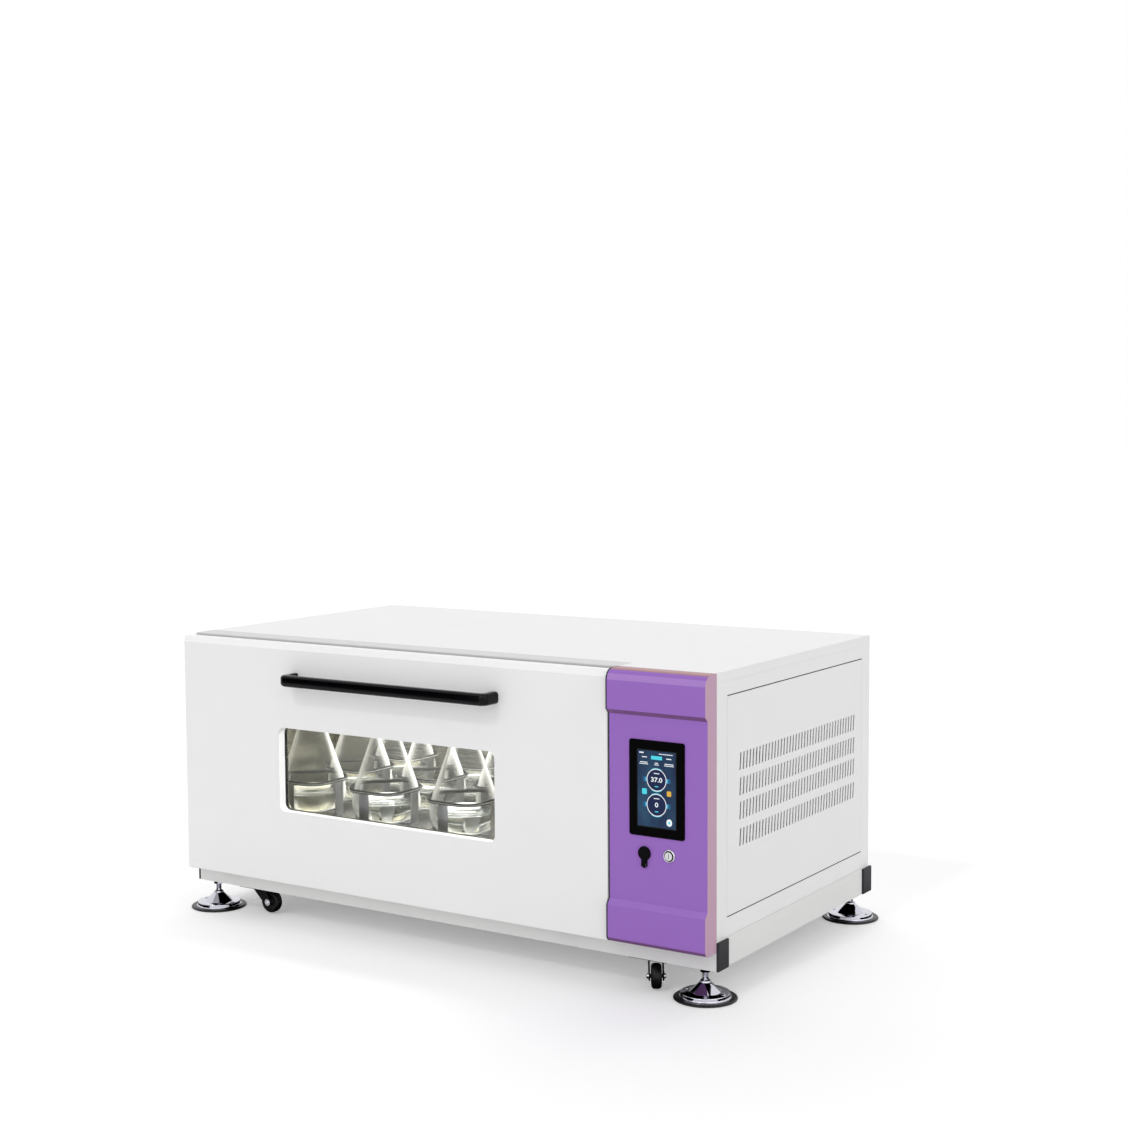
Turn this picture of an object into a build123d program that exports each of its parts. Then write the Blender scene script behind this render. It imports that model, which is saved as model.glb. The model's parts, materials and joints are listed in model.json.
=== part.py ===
from build123d import *

import os
from math import atan2, cos, degrees, pi, radians, sin

os.makedirs("parts", exist_ok=True)

# Low front-opening incubator shaker, in millimetres.
# X runs to the right (the control side), -Y is the front with the door, +Z is up.
# The origin is on the floor, under the middle of the whole object's box.

# Cabinet
cabinet_width = 1336.0
cabinet_depth = 712.0
cabinet_height = 568.0
floor_gap = 62.0
base_height = 56.0
base_ledge = 4.0
base_sheet = 3.0
base_flange = 24.0
sheet = 1.5
roof_skirt = 20.0
roof_round = 2.0
seam = 0.4
rear_flange = 22.0
frame_thickness = 12.0
running_gap = 0.3
shaft_gap = 0.05
round_sides = 20
small_sides = 12

# Corner bumpers on the sides of the base
bumper_length = 42.0
bumper_proud = 5.0
bumper_round = 1.5

# Service panel with vent slots, on the right side
service_front = 50.0
service_length = 622.0
service_low = 93.0
service_high = 521.0
service_seam = 2.0
service_lap = 12.0
slot_width = 5.0
slot_height = 34.0
slot_lean = 6.0
slot_pitch = 13.5
slot_count = 40
slot_rows = (386.0, 337.0, 290.0, 238.0)
slot_centre = 317.0

# Chamber
chamber_width = 972.0
chamber_height = 378.0
chamber_floor = 128.0
chamber_depth = 628.0
wiring_margin = 40.0
wall_insulation = 74.0
duct_depth = 68.0
duct_slot = (60.0, 8.0)
duct_slot_count = 9
duct_slot_pitch = 100.0
grille_slot = (34.0, 8.0)
grille_radius = 42.0
grille_count = 12

# Door
door_proud = 36.0
door_space = 6.0
door_low = 35.6
door_high = 563.5
door_gap = 4.6
door_round = 3.0
door_bevel = (5.0, 12.5)
window_left = 278.5
window_width = 573.3
window_low = 196.0
window_height = 184.0
window_round = 15.0
window_reveal = 19.0
glass_thickness = 4.0
glass_lap = 12.0
inner_glass_thickness = 3.5
spacer_inset = 3.0
gasket_margin = 16.0
gasket_width = 18.0
gasket_round = 20.0
handle_left = 320.0
handle_length = 543.0
handle_centre = 490.0
handle_height = 25.0
handle_reach = 46.0
handle_bar = 15.0
handle_arm = 17.0
handle_corner = 15.0
handle_round = 4.0

# Door hinges
hinge_inset = 110.0
hinge_back = 10.0
hinge_up = 12.0
hinge_pin_radius = 4.0
hinge_eye_radius = 7.0
hinge_width = 30.0
hinge_side_gap = 2.0
hinge_cheek = 14.0
hinge_pin_reach = 10.0
hinge_plate = 3.0
hinge_arm_width = 12.0

# Control panel
panel_width = 213.6
panel_band = 9.0
panel_low = 37.5
panel_wall = 3.0
panel_top_round = 22.0
panel_low_round = 12.0
band_upper = (482.0, 491.0)
band_lower = (111.0, 122.0)
screen_right = 108.0
screen_size = (120.4, 184.6)
screen_low = 252.4
screen_round = 5.0
screen_glass_thickness = 2.0
module_size = (96.0, 158.0)
module_depth = 16.0
module_gap = 1.0
lock_right = 81.5
lock_up = 219.6
lock_ring_radius = 12.5
lock_ring_proud = 3.0
lock_barrel_radius = 8.0
lock_barrel_proud = 1.0
lock_depth = 22.0
key_slot = (2.0, 9.0, 4.0)
port_right = 135.2
port_up = 219.0
port_cap_radius = 13.5
port_cap_thickness = 4.0
port_body = (16.0, 11.0)
port_depth = 18.0
port_socket = (12.0, 5.0, 10.0)
port_tail = 22.0
port_tail_width = 8.0
port_pin_radius = 1.25
port_eye_radius = 2.6

# Levelling feet
foot_inset_x = 36.0
foot_inset_y = 22.0
foot_radius = 62.0
foot_pad = 5.0
pad_seat = 0.1
foot_rim_radius = 48.0
foot_rim_height = 8.0
foot_cone_radius = 31.0
foot_cone_top = 11.0
foot_cone_height = 20.0
foot_stem_radius = 6.0
foot_stem_inside = 40.0
foot_nut_flats = 19.0
foot_nut_height = 10.0
foot_boss = 32.0
foot_boss_height = 27.0

# Castors
caster_inset_x = 156.0
caster_inset_y = 40.0
caster_plate = (85.0, 65.0, 3.5)
caster_trail = 25.0
caster_ways = (0.0, -57.0, 90.0, 0.0)
wheel_radius = 25.0
wheel_width = 20.0
wheel_lift = 2.0
wheel_round = 3.0
fork_gap = 2.5
fork_sheet = 2.5
fork_top_reach = 17.0
fork_end_radius = 10.0
race_radius = 18.0
race_height = 2.0
kingpin_radius = 5.0
axle_radius = 4.0

# Orbital drive under the chamber
orbit_radius = 12.5
bed_lift = 19.0
bed_thickness = 8.0
bed_width = 700.0
bed_depth = 420.0
bed_rail_width = 40.0
housing_radius = 26.0
housing_flange = (72.0, 8.0)
housing_height = 40.0
journal_radius = 12.5
collar_radius = 18.0
collar_height = 5.0
tooth_pitch = 11.0
pulley_teeth = 48
motor_teeth = 16
pulley_height = 14.0
motor_radius = 58.0
motor_height = 40.0
motor_shaft_radius = 7.0
belt_thickness = 3.0
belt_height = 10.0
web_radius = 20.0
web_thickness = 10.0
counterweight_radius = 58.0
pin_radius = 10.0
pin_play = 8.0
drive_back = 110.0
idler_side = 260.0
idler_forward = 110.0
motor_side = 240.0

# Platform, clamps and flasks
platform_width = 840.0
platform_depth = 508.0
platform_front = 24.0
platform_top = 170.0
platform_sheet = 4.0
platform_rim = 22.0
platform_corner = 18.0
carrier_inset = 30.0
carrier_height = 18.0
carrier_sheet = 4.0
bush_radius = 22.0
bush_height = 24.0
column_pitch = 212.0
row_pitch = 168.0
platform_columns = 4
flask_columns = 3
flask_sides = 16
flask_rows = 3
flask_radius = 77.0
flask_foot_height = 28.0
flask_waist = (72.0, 68.0)
flask_neck_radius = 25.0
flask_cone_height = 205.0
flask_height = 272.0
clamp_sheet = 1.5
clamp_strap = 20.0
clamp_height = 74.0
clamp_gap = 0.6
spring_height = 5.0
spring_thickness = 3.0
spring_sides = 8

# Air circulation
fan_up = 190.0
fan_radius = 78.0
fan_blade = 28.0
fan_blade_sheet = 2.0
fan_blade_count = 8
fan_blade_lean = 35.0
fan_hub_radius = 16.0
fan_disc = 2.5
fan_shaft_radius = 5.0
fan_motor_radius = 40.0
fan_motor_length = 48.0
coil_left = 30.0
coil_width = 330.0
coil_low = 40.0
coil_height = 290.0
coil_depth = 42.0
coil_fin_pitch = 30.0
coil_fin_gap = 18.0
coil_fin_depth = 30.0

# Cooling set in the right compartment
compressor_radius = 62.0
compressor_height = 150.0
compressor_dome = 22.0
compressor_sides = 36
compressor_plate = (150.0, 150.0, 4.0)
compressor_side = 104.0
compressor_rear = 142.0
condenser_side = 24.0
condenser_thickness = 40.0
condenser_front = 170.0
condenser_length = 270.0
condenser_low = 85.0
condenser_height = 260.0
condenser_fin_pitch = 30.0
condenser_fin_gap = 20.0
condenser_fin_depth = 26.0
condenser_leg = 12.0
blower_radius = 100.0
blower_hub_radius = 24.0
blower_hub_length = 20.0
blower_blade_count = 5
blower_blade_width = 34.0
blower_blade_sheet = 2.0
blower_pitch = 28.0
blower_gap = 16.0
blower_motor_radius = 28.0
blower_motor_length = 40.0
blower_shaft_radius = 4.0
blower_post = (30.0, 8.0)

# Mains inlet at the rear
inlet_side = 110.0
inlet_up = 140.0
inlet_plate = (76.0, 36.0, 3.0)
inlet_body = (66.0, 28.0, 24.0)
socket_size = (26.0, 18.0, 14.0)
socket_offset = 15.0
rocker_offset = 19.0
rocker_width = 13.0
rocker_half = 9.0
rocker_end = 4.0
rocker_dip = 2.0
rocker_depth = 5.0
rocker_tilt = 7.0
rocker_pivot_depth = 3.0
rocker_pocket = 11.5
rocker_pin = (1.5, 17.0)

# Pulley radii follow from their teeth
pulley_radius = pulley_teeth * tooth_pitch / (2 * pi)
motor_pulley_radius = motor_teeth * tooth_pitch / (2 * pi)

# Planes and edges that the pieces share
base_z = floor_gap
base_top = base_z + base_height
roof_z = base_z + cabinet_height
x_left = -cabinet_width / 2
x_right = cabinet_width / 2
wall_left = x_left + base_ledge
wall_right = x_right - base_ledge
front_reach = door_proud + handle_reach
rear_reach = cabinet_depth - foot_inset_y + foot_radius
y_front = (front_reach - rear_reach) / 2
y_rear = y_front + cabinet_depth
wall_top = roof_z - roof_skirt

panel_left = x_right - panel_width
door_left = x_left
door_right = panel_left - door_gap
door_bottom = base_z + door_low
door_top = base_z + door_high
door_face = y_front - door_proud
door_back = y_front - door_space
door_rim = door_back - sheet
glass_front = door_face + window_reveal
glass_back = glass_front + glass_thickness
window_x = (door_left + window_left, door_left + window_left + window_width)
window_z = (base_z + window_low, base_z + window_low + window_height)
window_centre = (sum(window_x) / 2, sum(window_z) / 2)
hinge_y = door_face + hinge_back
hinge_z = door_bottom + hinge_up
hinge_xs = (door_left + hinge_inset, door_right - hinge_inset)
notch_half = hinge_width / 2 + hinge_side_gap

chamber_left = wall_left + wall_insulation
chamber_right = chamber_left + chamber_width
chamber_low = base_z + chamber_floor
chamber_top = chamber_low + chamber_height
chamber_front = y_front + frame_thickness
chamber_rear = chamber_front + chamber_depth
duct_face = chamber_rear - duct_depth
fan_x = (chamber_left + chamber_right) / 2
fan_z = chamber_low + fan_up

deck_x = fan_x
deck_y = y_front + platform_front + platform_depth / 2
deck_top = base_z + platform_top
deck_under = deck_top - platform_sheet
pin_points = (
    (deck_x, deck_y + drive_back),
    (deck_x - idler_side, deck_y - idler_forward),
    (deck_x + idler_side, deck_y - idler_forward),
)
crank_points = [(x - orbit_radius, y) for x, y in pin_points]
drive_x, drive_y = crank_points[0]
motor_x, motor_y = drive_x + motor_side, drive_y
pan_floor = base_z + base_sheet
bed_low = pan_floor + bed_lift
bed_top = bed_low + bed_thickness
housing_top = bed_top + housing_height
collar_low = housing_top + running_gap
pulley_low = collar_low + collar_height
pulley_top = pulley_low + pulley_height
web_top = pulley_top + web_thickness
bush_low = deck_under - bush_height
pin_top = deck_under - running_gap
floor_hole_radius = pin_radius + orbit_radius + pin_play

foot_x = x_right - foot_inset_x
foot_ys = (y_front + foot_inset_y, y_rear - foot_inset_y)
caster_x = x_right - caster_inset_x
caster_ys = (y_front + caster_inset_y, y_rear - caster_inset_y)

screen_x = x_right - screen_right
screen_z = base_z + screen_low + screen_size[1] / 2
lock_x = x_right - lock_right
lock_z = base_z + lock_up
port_x = x_right - port_right
port_z = base_z + port_up
port_pin_y = door_face - running_gap - port_eye_radius
port_pin_z = port_z - port_tail

inlet_x = wall_right - inlet_side
inlet_z = base_top + inlet_up
rear_panel_y = y_rear - sheet


def front_plane(y):
    """A plane at depth y that faces the front: its own x is X and its own y is Z."""
    return Plane(origin=(0, y, 0), x_dir=(1, 0, 0), z_dir=(0, -1, 0))


def side_plane(x):
    """A plane at width x that faces right: its own x is Y and its own y is Z."""
    return Plane.YZ.offset(x)


def level(z):
    """A horizontal plane at height z."""
    return Plane.XY.offset(z)


def block(xs, ys, zs, mode=Mode.ADD):
    """A box between a low and a high value on each axis."""
    with Locations((sum(xs) / 2, sum(ys) / 2, sum(zs) / 2)):
        Box(xs[1] - xs[0], ys[1] - ys[0], zs[1] - zs[0], mode=mode)


# Base pan: folded floor, skirts and an inward ledge that carries the cabinet
with BuildPart() as base_frame:
    block((x_left, x_right), (y_front, y_rear), (base_z, base_top))
    fillet(base_frame.edges().filter_by(Axis.Z), door_round)
    chamfer(base_frame.edges().group_by(Axis.Z)[-1], sheet)
    block(
        (x_left + base_sheet, x_right - base_sheet),
        (y_front + base_sheet, y_rear - base_sheet),
        (pan_floor, base_top - base_sheet),
        mode=Mode.SUBTRACT,
    )
    block(
        (x_left + base_flange, x_right - base_flange),
        (y_front + base_flange, y_rear - base_flange),
        (pan_floor, base_top),
        mode=Mode.SUBTRACT,
    )
    stem_points = [(side * foot_x, y) for side in (-1, 1) for y in foot_ys]
    with BuildSketch(level(pan_floor)):
        with Locations(*stem_points):
            Rectangle(foot_boss, foot_boss)
    extrude(amount=foot_boss_height)
    with BuildSketch(level(base_z)):
        with Locations(*stem_points):
            RegularPolygon(foot_stem_radius + shaft_gap, small_sides, major_radius=False)
    extrude(amount=base_sheet + foot_boss_height, mode=Mode.SUBTRACT)

with BuildPart() as corner_bumpers:
    for side in (-1, 1):
        for low_y in (y_front, y_rear - bumper_length):
            inner_x = side * x_right
            outer_x = side * (x_right + bumper_proud)
            block(
                tuple(sorted((inner_x, outer_x))),
                (low_y, low_y + bumper_length),
                (base_z, base_top),
            )
    outer_faces = corner_bumpers.faces().filter_by(Axis.X)
    outer_faces = outer_faces.group_by(Axis.X)[0] + outer_faces.group_by(Axis.X)[-1]
    chamfer(outer_faces.edges(), bumper_round)

# Cabinet shells
with BuildPart() as roof_cover:
    block((wall_left, wall_right), (y_front, y_rear), (roof_z - roof_skirt, roof_z))
    fillet(roof_cover.edges().group_by(Axis.Z)[-1], roof_round)
    block(
        (wall_left + sheet, wall_right - sheet),
        (y_front + sheet, y_rear - sheet),
        (roof_z - roof_skirt, roof_z - sheet),
        mode=Mode.SUBTRACT,
    )

with BuildPart() as left_side_panel:
    with BuildSketch(level(base_top)):
        with BuildLine():
            Polyline(
                (wall_left, y_front),
                (wall_left + sheet, y_front),
                (wall_left + sheet, y_rear - sheet),
                (wall_left + rear_flange, y_rear - sheet),
                (wall_left + rear_flange, y_rear),
                (wall_left, y_rear),
                close=True,
            )
        make_face()
    extrude(amount=wall_top - base_top)

service_y = (y_front + service_front, y_front + service_front + service_length)
service_z = (base_z + service_low, base_z + service_high)

with BuildPart() as right_side_panel:
    with BuildSketch(level(base_top)):
        with BuildLine():
            Polyline(
                (wall_right, y_front),
                (wall_right - sheet, y_front),
                (wall_right - sheet, y_rear - sheet),
                (wall_right - rear_flange, y_rear - sheet),
                (wall_right - rear_flange, y_rear),
                (wall_right, y_rear),
                close=True,
            )
        make_face()
    extrude(amount=wall_top - base_top)
    block(
        (wall_right - 2 * sheet, wall_right - sheet),
        (service_y[0] - service_lap, service_y[1] + service_lap),
        (service_z[0] - service_lap, service_z[1] + service_lap),
    )
    block(
        (wall_right - sheet, wall_right),
        (service_y[0] - seam, service_y[1] + seam),
        service_z,
        mode=Mode.SUBTRACT,
    )
    block(
        (wall_right - 2 * sheet, wall_right - sheet),
        (service_y[0] + service_lap, service_y[1] - service_lap),
        (service_z[0] + service_lap, service_z[1] - service_lap),
        mode=Mode.SUBTRACT,
    )

# Service panel: four rows of leaning slots
with BuildPart() as vent_panel:
    with BuildSketch(side_plane(wall_right - sheet)):
        with Locations((sum(service_y) / 2, sum(service_z) / 2)):
            Rectangle(service_length, service_high - service_low - 2 * service_seam)
        for row in slot_rows:
            with Locations((y_front + slot_centre + service_front, base_z + row)):
                with GridLocations(slot_pitch, 1, slot_count, 1):
                    Rectangle(slot_width, slot_height, rotation=-slot_lean, mode=Mode.SUBTRACT)
    extrude(amount=sheet)

with BuildPart() as rear_panel:
    block(
        (wall_left + sheet + running_gap, wall_right - sheet - running_gap),
        (rear_panel_y - sheet, rear_panel_y),
        (base_top, roof_z - sheet),
    )
    block(
        (inlet_x - inlet_body[0] / 2 - 1, inlet_x + inlet_body[0] / 2 + 1),
        (rear_panel_y - sheet, rear_panel_y),
        (inlet_z - inlet_body[1] / 2 - 1, inlet_z + inlet_body[1] / 2 + 1),
        mode=Mode.SUBTRACT,
    )

# Front frame round the chamber mouth, and the chamber behind it
mouth_centre = ((chamber_left + chamber_right) / 2, (chamber_low + chamber_top) / 2)
wiring_centre = ((panel_left + x_right) / 2, mouth_centre[1])
with BuildPart() as front_frame:
    block((wall_left + sheet, wall_right - sheet), (y_front, chamber_front), (base_top, wall_top))
    block(
        (wall_left + 2 * sheet, wall_right - 2 * sheet),
        (y_front + sheet, chamber_front),
        (base_top + sheet, wall_top - sheet),
        mode=Mode.SUBTRACT,
    )
    with BuildSketch(front_plane(y_front)):
        with Locations(mouth_centre):
            Rectangle(chamber_width + 2 * sheet, chamber_height + 2 * sheet)
    extrude(amount=-frame_thickness)
    with BuildSketch(front_plane(y_front)):
        with Locations(mouth_centre):
            Rectangle(chamber_width, chamber_height)
        with Locations(wiring_centre):
            Rectangle(panel_width - 2 * wiring_margin, chamber_height)
    extrude(amount=-frame_thickness, mode=Mode.SUBTRACT)

with BuildPart() as chamber_liner:
    block(
        (chamber_left - sheet, chamber_right + sheet),
        (chamber_front, chamber_rear + sheet),
        (chamber_low - sheet, chamber_top + sheet),
    )
    block(
        (chamber_left, chamber_right),
        (chamber_front, chamber_rear),
        (chamber_low, chamber_top),
        mode=Mode.SUBTRACT,
    )
    with BuildSketch(level(chamber_low - sheet)):
        with Locations(*crank_points):
            RegularPolygon(floor_hole_radius, round_sides, major_radius=False)
    extrude(amount=sheet, mode=Mode.SUBTRACT)
    with BuildSketch(front_plane(chamber_rear)):
        with Locations((fan_x, fan_z)):
            RegularPolygon(fan_shaft_radius + running_gap, small_sides, major_radius=False)
    extrude(amount=-sheet, mode=Mode.SUBTRACT)

with BuildPart() as duct_cover:
    with BuildSketch(front_plane(duct_face + sheet)):
        with Locations(mouth_centre):
            Rectangle(chamber_width - 2 * running_gap, chamber_height - 2 * running_gap)
        with Locations((fan_x, fan_z)):
            with PolarLocations(grille_radius, grille_count):
                Rectangle(*grille_slot, mode=Mode.SUBTRACT)
        for z in (chamber_low + grille_slot[0], chamber_top - grille_slot[0]):
            with Locations((fan_x, z)):
                with GridLocations(duct_slot_pitch, 1, duct_slot_count, 1):
                    Rectangle(*duct_slot, mode=Mode.SUBTRACT)
    extrude(amount=sheet)

# Door: folded outer pan with a window tube and hinge cheeks
with BuildPart() as door_shell:
    with BuildSketch(side_plane(door_left)):
        with BuildLine():
            Polyline(
                (door_face, door_bottom),
                (door_rim, door_bottom),
                (door_rim, door_top),
                (door_face + door_bevel[0], door_top),
                (door_face, door_top - door_bevel[1]),
                close=True,
            )
        make_face()
    extrude(amount=door_right - door_left)
    front_edges = door_shell.faces().sort_by(Axis.Y)[0].edges()
    fillet(front_edges.filter_by(Axis.Z) + front_edges.sort_by(Axis.Z)[:1], door_round)
    with BuildSketch(side_plane(door_left + sheet)):
        with BuildLine():
            Polyline(
                (door_face + sheet, door_bottom + sheet),
                (door_rim, door_bottom + sheet),
                (door_rim, door_top - sheet),
                (door_face + sheet + door_bevel[0], door_top - sheet),
                (door_face + sheet, door_top - sheet - door_bevel[1]),
                close=True,
            )
        make_face()
    extrude(amount=door_right - door_left - 2 * sheet, mode=Mode.SUBTRACT)
    with BuildSketch(front_plane(door_face)):
        with Locations(window_centre):
            RectangleRounded(
                window_width + 2 * sheet, window_height + 2 * sheet, window_round + sheet
            )
    extrude(amount=-window_reveal)
    with BuildSketch(front_plane(door_face)):
        with Locations(window_centre):
            RectangleRounded(window_width, window_height, window_round)
    extrude(amount=-window_reveal, mode=Mode.SUBTRACT)
    for hinge_x in hinge_xs:
        block(
            (hinge_x - notch_half - hinge_cheek, hinge_x + notch_half + hinge_cheek),
            (door_face + sheet, door_rim),
            (door_bottom + sheet, hinge_z + hinge_cheek),
        )
        block(
            (hinge_x - notch_half, hinge_x + notch_half),
            (door_face + sheet, door_rim),
            (door_bottom, hinge_z + hinge_eye_radius + hinge_side_gap),
            mode=Mode.SUBTRACT,
        )
        with BuildSketch(side_plane(hinge_x - notch_half - hinge_cheek)):
            with Locations((hinge_y, hinge_z)):
                RegularPolygon(hinge_pin_radius + shaft_gap, small_sides, major_radius=False)
        extrude(amount=2 * (notch_half + hinge_cheek), mode=Mode.SUBTRACT)

with BuildPart() as door_liner:
    block((door_left, door_right), (door_rim, door_back), (door_bottom, door_top))
    with BuildSketch(front_plane(door_rim)):
        with Locations(window_centre):
            RectangleRounded(window_width, window_height, window_round)
        for hinge_x in hinge_xs:
            notch_top = hinge_z + hinge_eye_radius + hinge_side_gap
            with Locations((hinge_x, (door_bottom + notch_top) / 2)):
                Rectangle(2 * notch_half, notch_top - door_bottom)
    extrude(amount=-sheet, mode=Mode.SUBTRACT)

with BuildPart() as outer_glass:
    with BuildSketch(front_plane(glass_back)):
        with Locations(window_centre):
            Rectangle(window_width + 2 * glass_lap, window_height + 2 * glass_lap)
    extrude(amount=glass_thickness)

with BuildPart() as inner_glass:
    with BuildSketch(front_plane(door_back + inner_glass_thickness)):
        with Locations(window_centre):
            Rectangle(window_width + 2 * glass_lap, window_height + 2 * glass_lap)
    extrude(amount=inner_glass_thickness)

with BuildPart() as glass_spacer:
    with BuildSketch(front_plane(door_rim)):
        with Locations(window_centre):
            Rectangle(window_width + 2 * glass_lap, window_height + 2 * glass_lap)
            Rectangle(
                window_width + 2 * spacer_inset,
                window_height + 2 * spacer_inset,
                mode=Mode.SUBTRACT,
            )
    extrude(amount=door_rim - glass_back)

gasket_inside = (chamber_width + 2 * gasket_margin, chamber_height + 2 * gasket_margin)
with BuildPart() as door_gasket:
    with BuildSketch(front_plane(y_front - running_gap)):
        with Locations(mouth_centre):
            RectangleRounded(
                gasket_inside[0] + 2 * gasket_width,
                gasket_inside[1] + 2 * gasket_width,
                gasket_round,
            )
            RectangleRounded(
                gasket_inside[0],
                gasket_inside[1],
                gasket_round - gasket_width / 2,
                mode=Mode.SUBTRACT,
            )
    extrude(amount=door_space - running_gap)

handle_x = (door_left + handle_left, door_left + handle_left + handle_length)
handle_z = base_z + handle_centre
with BuildPart() as door_handle:
    with BuildSketch(level(handle_z - handle_height / 2)):
        with BuildLine():
            FilletPolyline(
                (handle_x[0], door_face),
                (handle_x[0], door_face - handle_reach),
                (handle_x[1], door_face - handle_reach),
                (handle_x[1], door_face),
                radius=handle_corner,
            )
            Line((handle_x[1], door_face), (handle_x[1] - handle_arm, door_face))
            FilletPolyline(
                (handle_x[1] - handle_arm, door_face),
                (handle_x[1] - handle_arm, door_face - handle_reach + handle_bar),
                (handle_x[0] + handle_arm, door_face - handle_reach + handle_bar),
                (handle_x[0] + handle_arm, door_face),
                radius=handle_corner / 2,
            )
            Line((handle_x[0] + handle_arm, door_face), (handle_x[0], door_face))
        make_face()
    extrude(amount=handle_height)
    rim_edges = door_handle.edges().group_by(Axis.Z)
    front_rims = rim_edges[0] + rim_edges[-1]
    outer_rims = front_rims.filter_by(lambda e: e.center().Y < door_face - handle_reach + 1)
    chamfer(outer_rims, handle_round)

with BuildPart() as hinge_brackets:
    for hinge_x in hinge_xs:
        block(
            (hinge_x - hinge_width / 2, hinge_x + hinge_width / 2),
            (y_front - hinge_plate, y_front),
            (door_bottom, base_top),
        )
        with BuildSketch(side_plane(hinge_x - hinge_arm_width / 2)):
            with Locations((hinge_y, hinge_z)):
                RegularPolygon(hinge_eye_radius, small_sides)
            with Locations(((hinge_y + y_front) / 2, hinge_z)):
                Rectangle(y_front - hinge_y, 2 * hinge_eye_radius)
        extrude(amount=hinge_arm_width)
        with BuildSketch(side_plane(hinge_x - notch_half - hinge_pin_reach)):
            with Locations((hinge_y, hinge_z)):
                RegularPolygon(hinge_pin_radius, small_sides)
        extrude(amount=2 * (notch_half + hinge_pin_reach))

# Control panel: one profile along X, hollow and open at the back
panel_front = door_face - panel_band
panel_bottom = base_z + panel_low


def panel_profile(x, inset):
    """The panel's side profile at x, drawn inside its skin by inset but as deep as the skin."""
    top = roof_z - inset
    bottom = panel_bottom + inset
    front = panel_front + inset
    recess = door_face + inset
    with BuildSketch(side_plane(x)) as profile:
        with BuildLine():
            Line((y_front, bottom), (y_front, top))
            Line((y_front, top), (panel_front + panel_top_round, top))
            CenterArc(
                (panel_front + panel_top_round, roof_z - panel_top_round),
                panel_top_round - inset,
                90,
                90,
            )
            Polyline(
                (front, roof_z - panel_top_round),
                (front, base_z + band_upper[1]),
                (recess, base_z + band_upper[0]),
                (recess, base_z + band_lower[1]),
                (front, base_z + band_lower[0]),
                (front, panel_bottom + panel_low_round),
            )
            CenterArc(
                (panel_front + panel_low_round, panel_bottom + panel_low_round),
                panel_low_round - inset,
                180,
                90,
            )
            Line((panel_front + panel_low_round, bottom), (y_front, bottom))
        make_face()
    return profile.sketch


with BuildPart() as control_panel:
    extrude(panel_profile(panel_left, 0), amount=panel_width)
    extrude(
        panel_profile(panel_left + panel_wall, panel_wall),
        amount=panel_width - 2 * panel_wall,
        mode=Mode.SUBTRACT,
    )
    with BuildSketch(front_plane(door_face)):
        with Locations((screen_x, screen_z)):
            Rectangle(module_size[0] + 2 * module_gap, module_size[1] + 2 * module_gap)
        with Locations((lock_x, lock_z)):
            RegularPolygon(lock_barrel_radius + shaft_gap, round_sides, major_radius=False)
        with Locations((port_x, port_z)):
            Rectangle(port_body[0] + 2 * shaft_gap, port_body[1] + 2 * shaft_gap)
    extrude(amount=-panel_wall, mode=Mode.SUBTRACT)

with BuildPart() as screen_glass:
    with BuildSketch(front_plane(door_face)):
        with Locations((screen_x, screen_z)):
            RectangleRounded(*screen_size, screen_round)
    extrude(amount=screen_glass_thickness)

with BuildPart() as display_module:
    with BuildSketch(front_plane(door_face + module_depth)):
        with Locations((screen_x, screen_z)):
            Rectangle(*module_size)
    extrude(amount=module_depth)

with BuildPart() as lock_ring:
    with BuildSketch(front_plane(door_face)):
        with Locations((lock_x, lock_z)):
            RegularPolygon(lock_ring_radius, round_sides)
            RegularPolygon(
                lock_barrel_radius + shaft_gap,
                round_sides,
                major_radius=False,
                mode=Mode.SUBTRACT,
            )
    extrude(amount=lock_ring_proud)

with BuildPart() as lock_barrel:
    with BuildSketch(front_plane(door_face + lock_depth)):
        with Locations((lock_x, lock_z)):
            RegularPolygon(lock_barrel_radius, round_sides)
    extrude(amount=lock_depth + lock_ring_proud + lock_barrel_proud)
    with BuildSketch(front_plane(door_face - lock_ring_proud - lock_barrel_proud)):
        with Locations((lock_x, lock_z)):
            Rectangle(key_slot[0], key_slot[1])
    extrude(amount=-key_slot[2], mode=Mode.SUBTRACT)

with BuildPart() as data_port:
    with BuildSketch(front_plane(door_face + port_depth)):
        with Locations((port_x, port_z)):
            Rectangle(*port_body)
    extrude(amount=port_depth)
    with BuildSketch(front_plane(door_face)):
        with Locations((port_x, port_z)):
            Rectangle(port_socket[0], port_socket[1])
    extrude(amount=-port_socket[2], mode=Mode.SUBTRACT)
    for side in (-1, 1):
        ear = port_x + side * (port_tail_width / 2 + running_gap + sheet / 2)
        block(
            (ear - sheet / 2, ear + sheet / 2),
            (port_pin_y - port_eye_radius, door_face),
            (port_pin_z - port_eye_radius, port_pin_z + port_eye_radius),
        )
    with Locations(Location((port_x, port_pin_y, port_pin_z), (0, 90, 0))):
        Cylinder(port_pin_radius, port_tail_width + 2 * (running_gap + sheet))

with BuildPart() as port_cap:
    cap_y = door_face - running_gap
    with BuildSketch(front_plane(cap_y)):
        with Locations((port_x, port_z)):
            RegularPolygon(port_cap_radius, round_sides)
        with Locations((port_x, (port_z + port_pin_z) / 2)):
            Rectangle(port_tail_width, port_z - port_pin_z)
    extrude(amount=port_cap_thickness)
    with Locations(Location((port_x, port_pin_y, port_pin_z), (0, 90, 0))):
        Cylinder(port_eye_radius, port_tail_width)
        Cylinder(port_pin_radius + shaft_gap, port_tail_width, mode=Mode.SUBTRACT)

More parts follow.
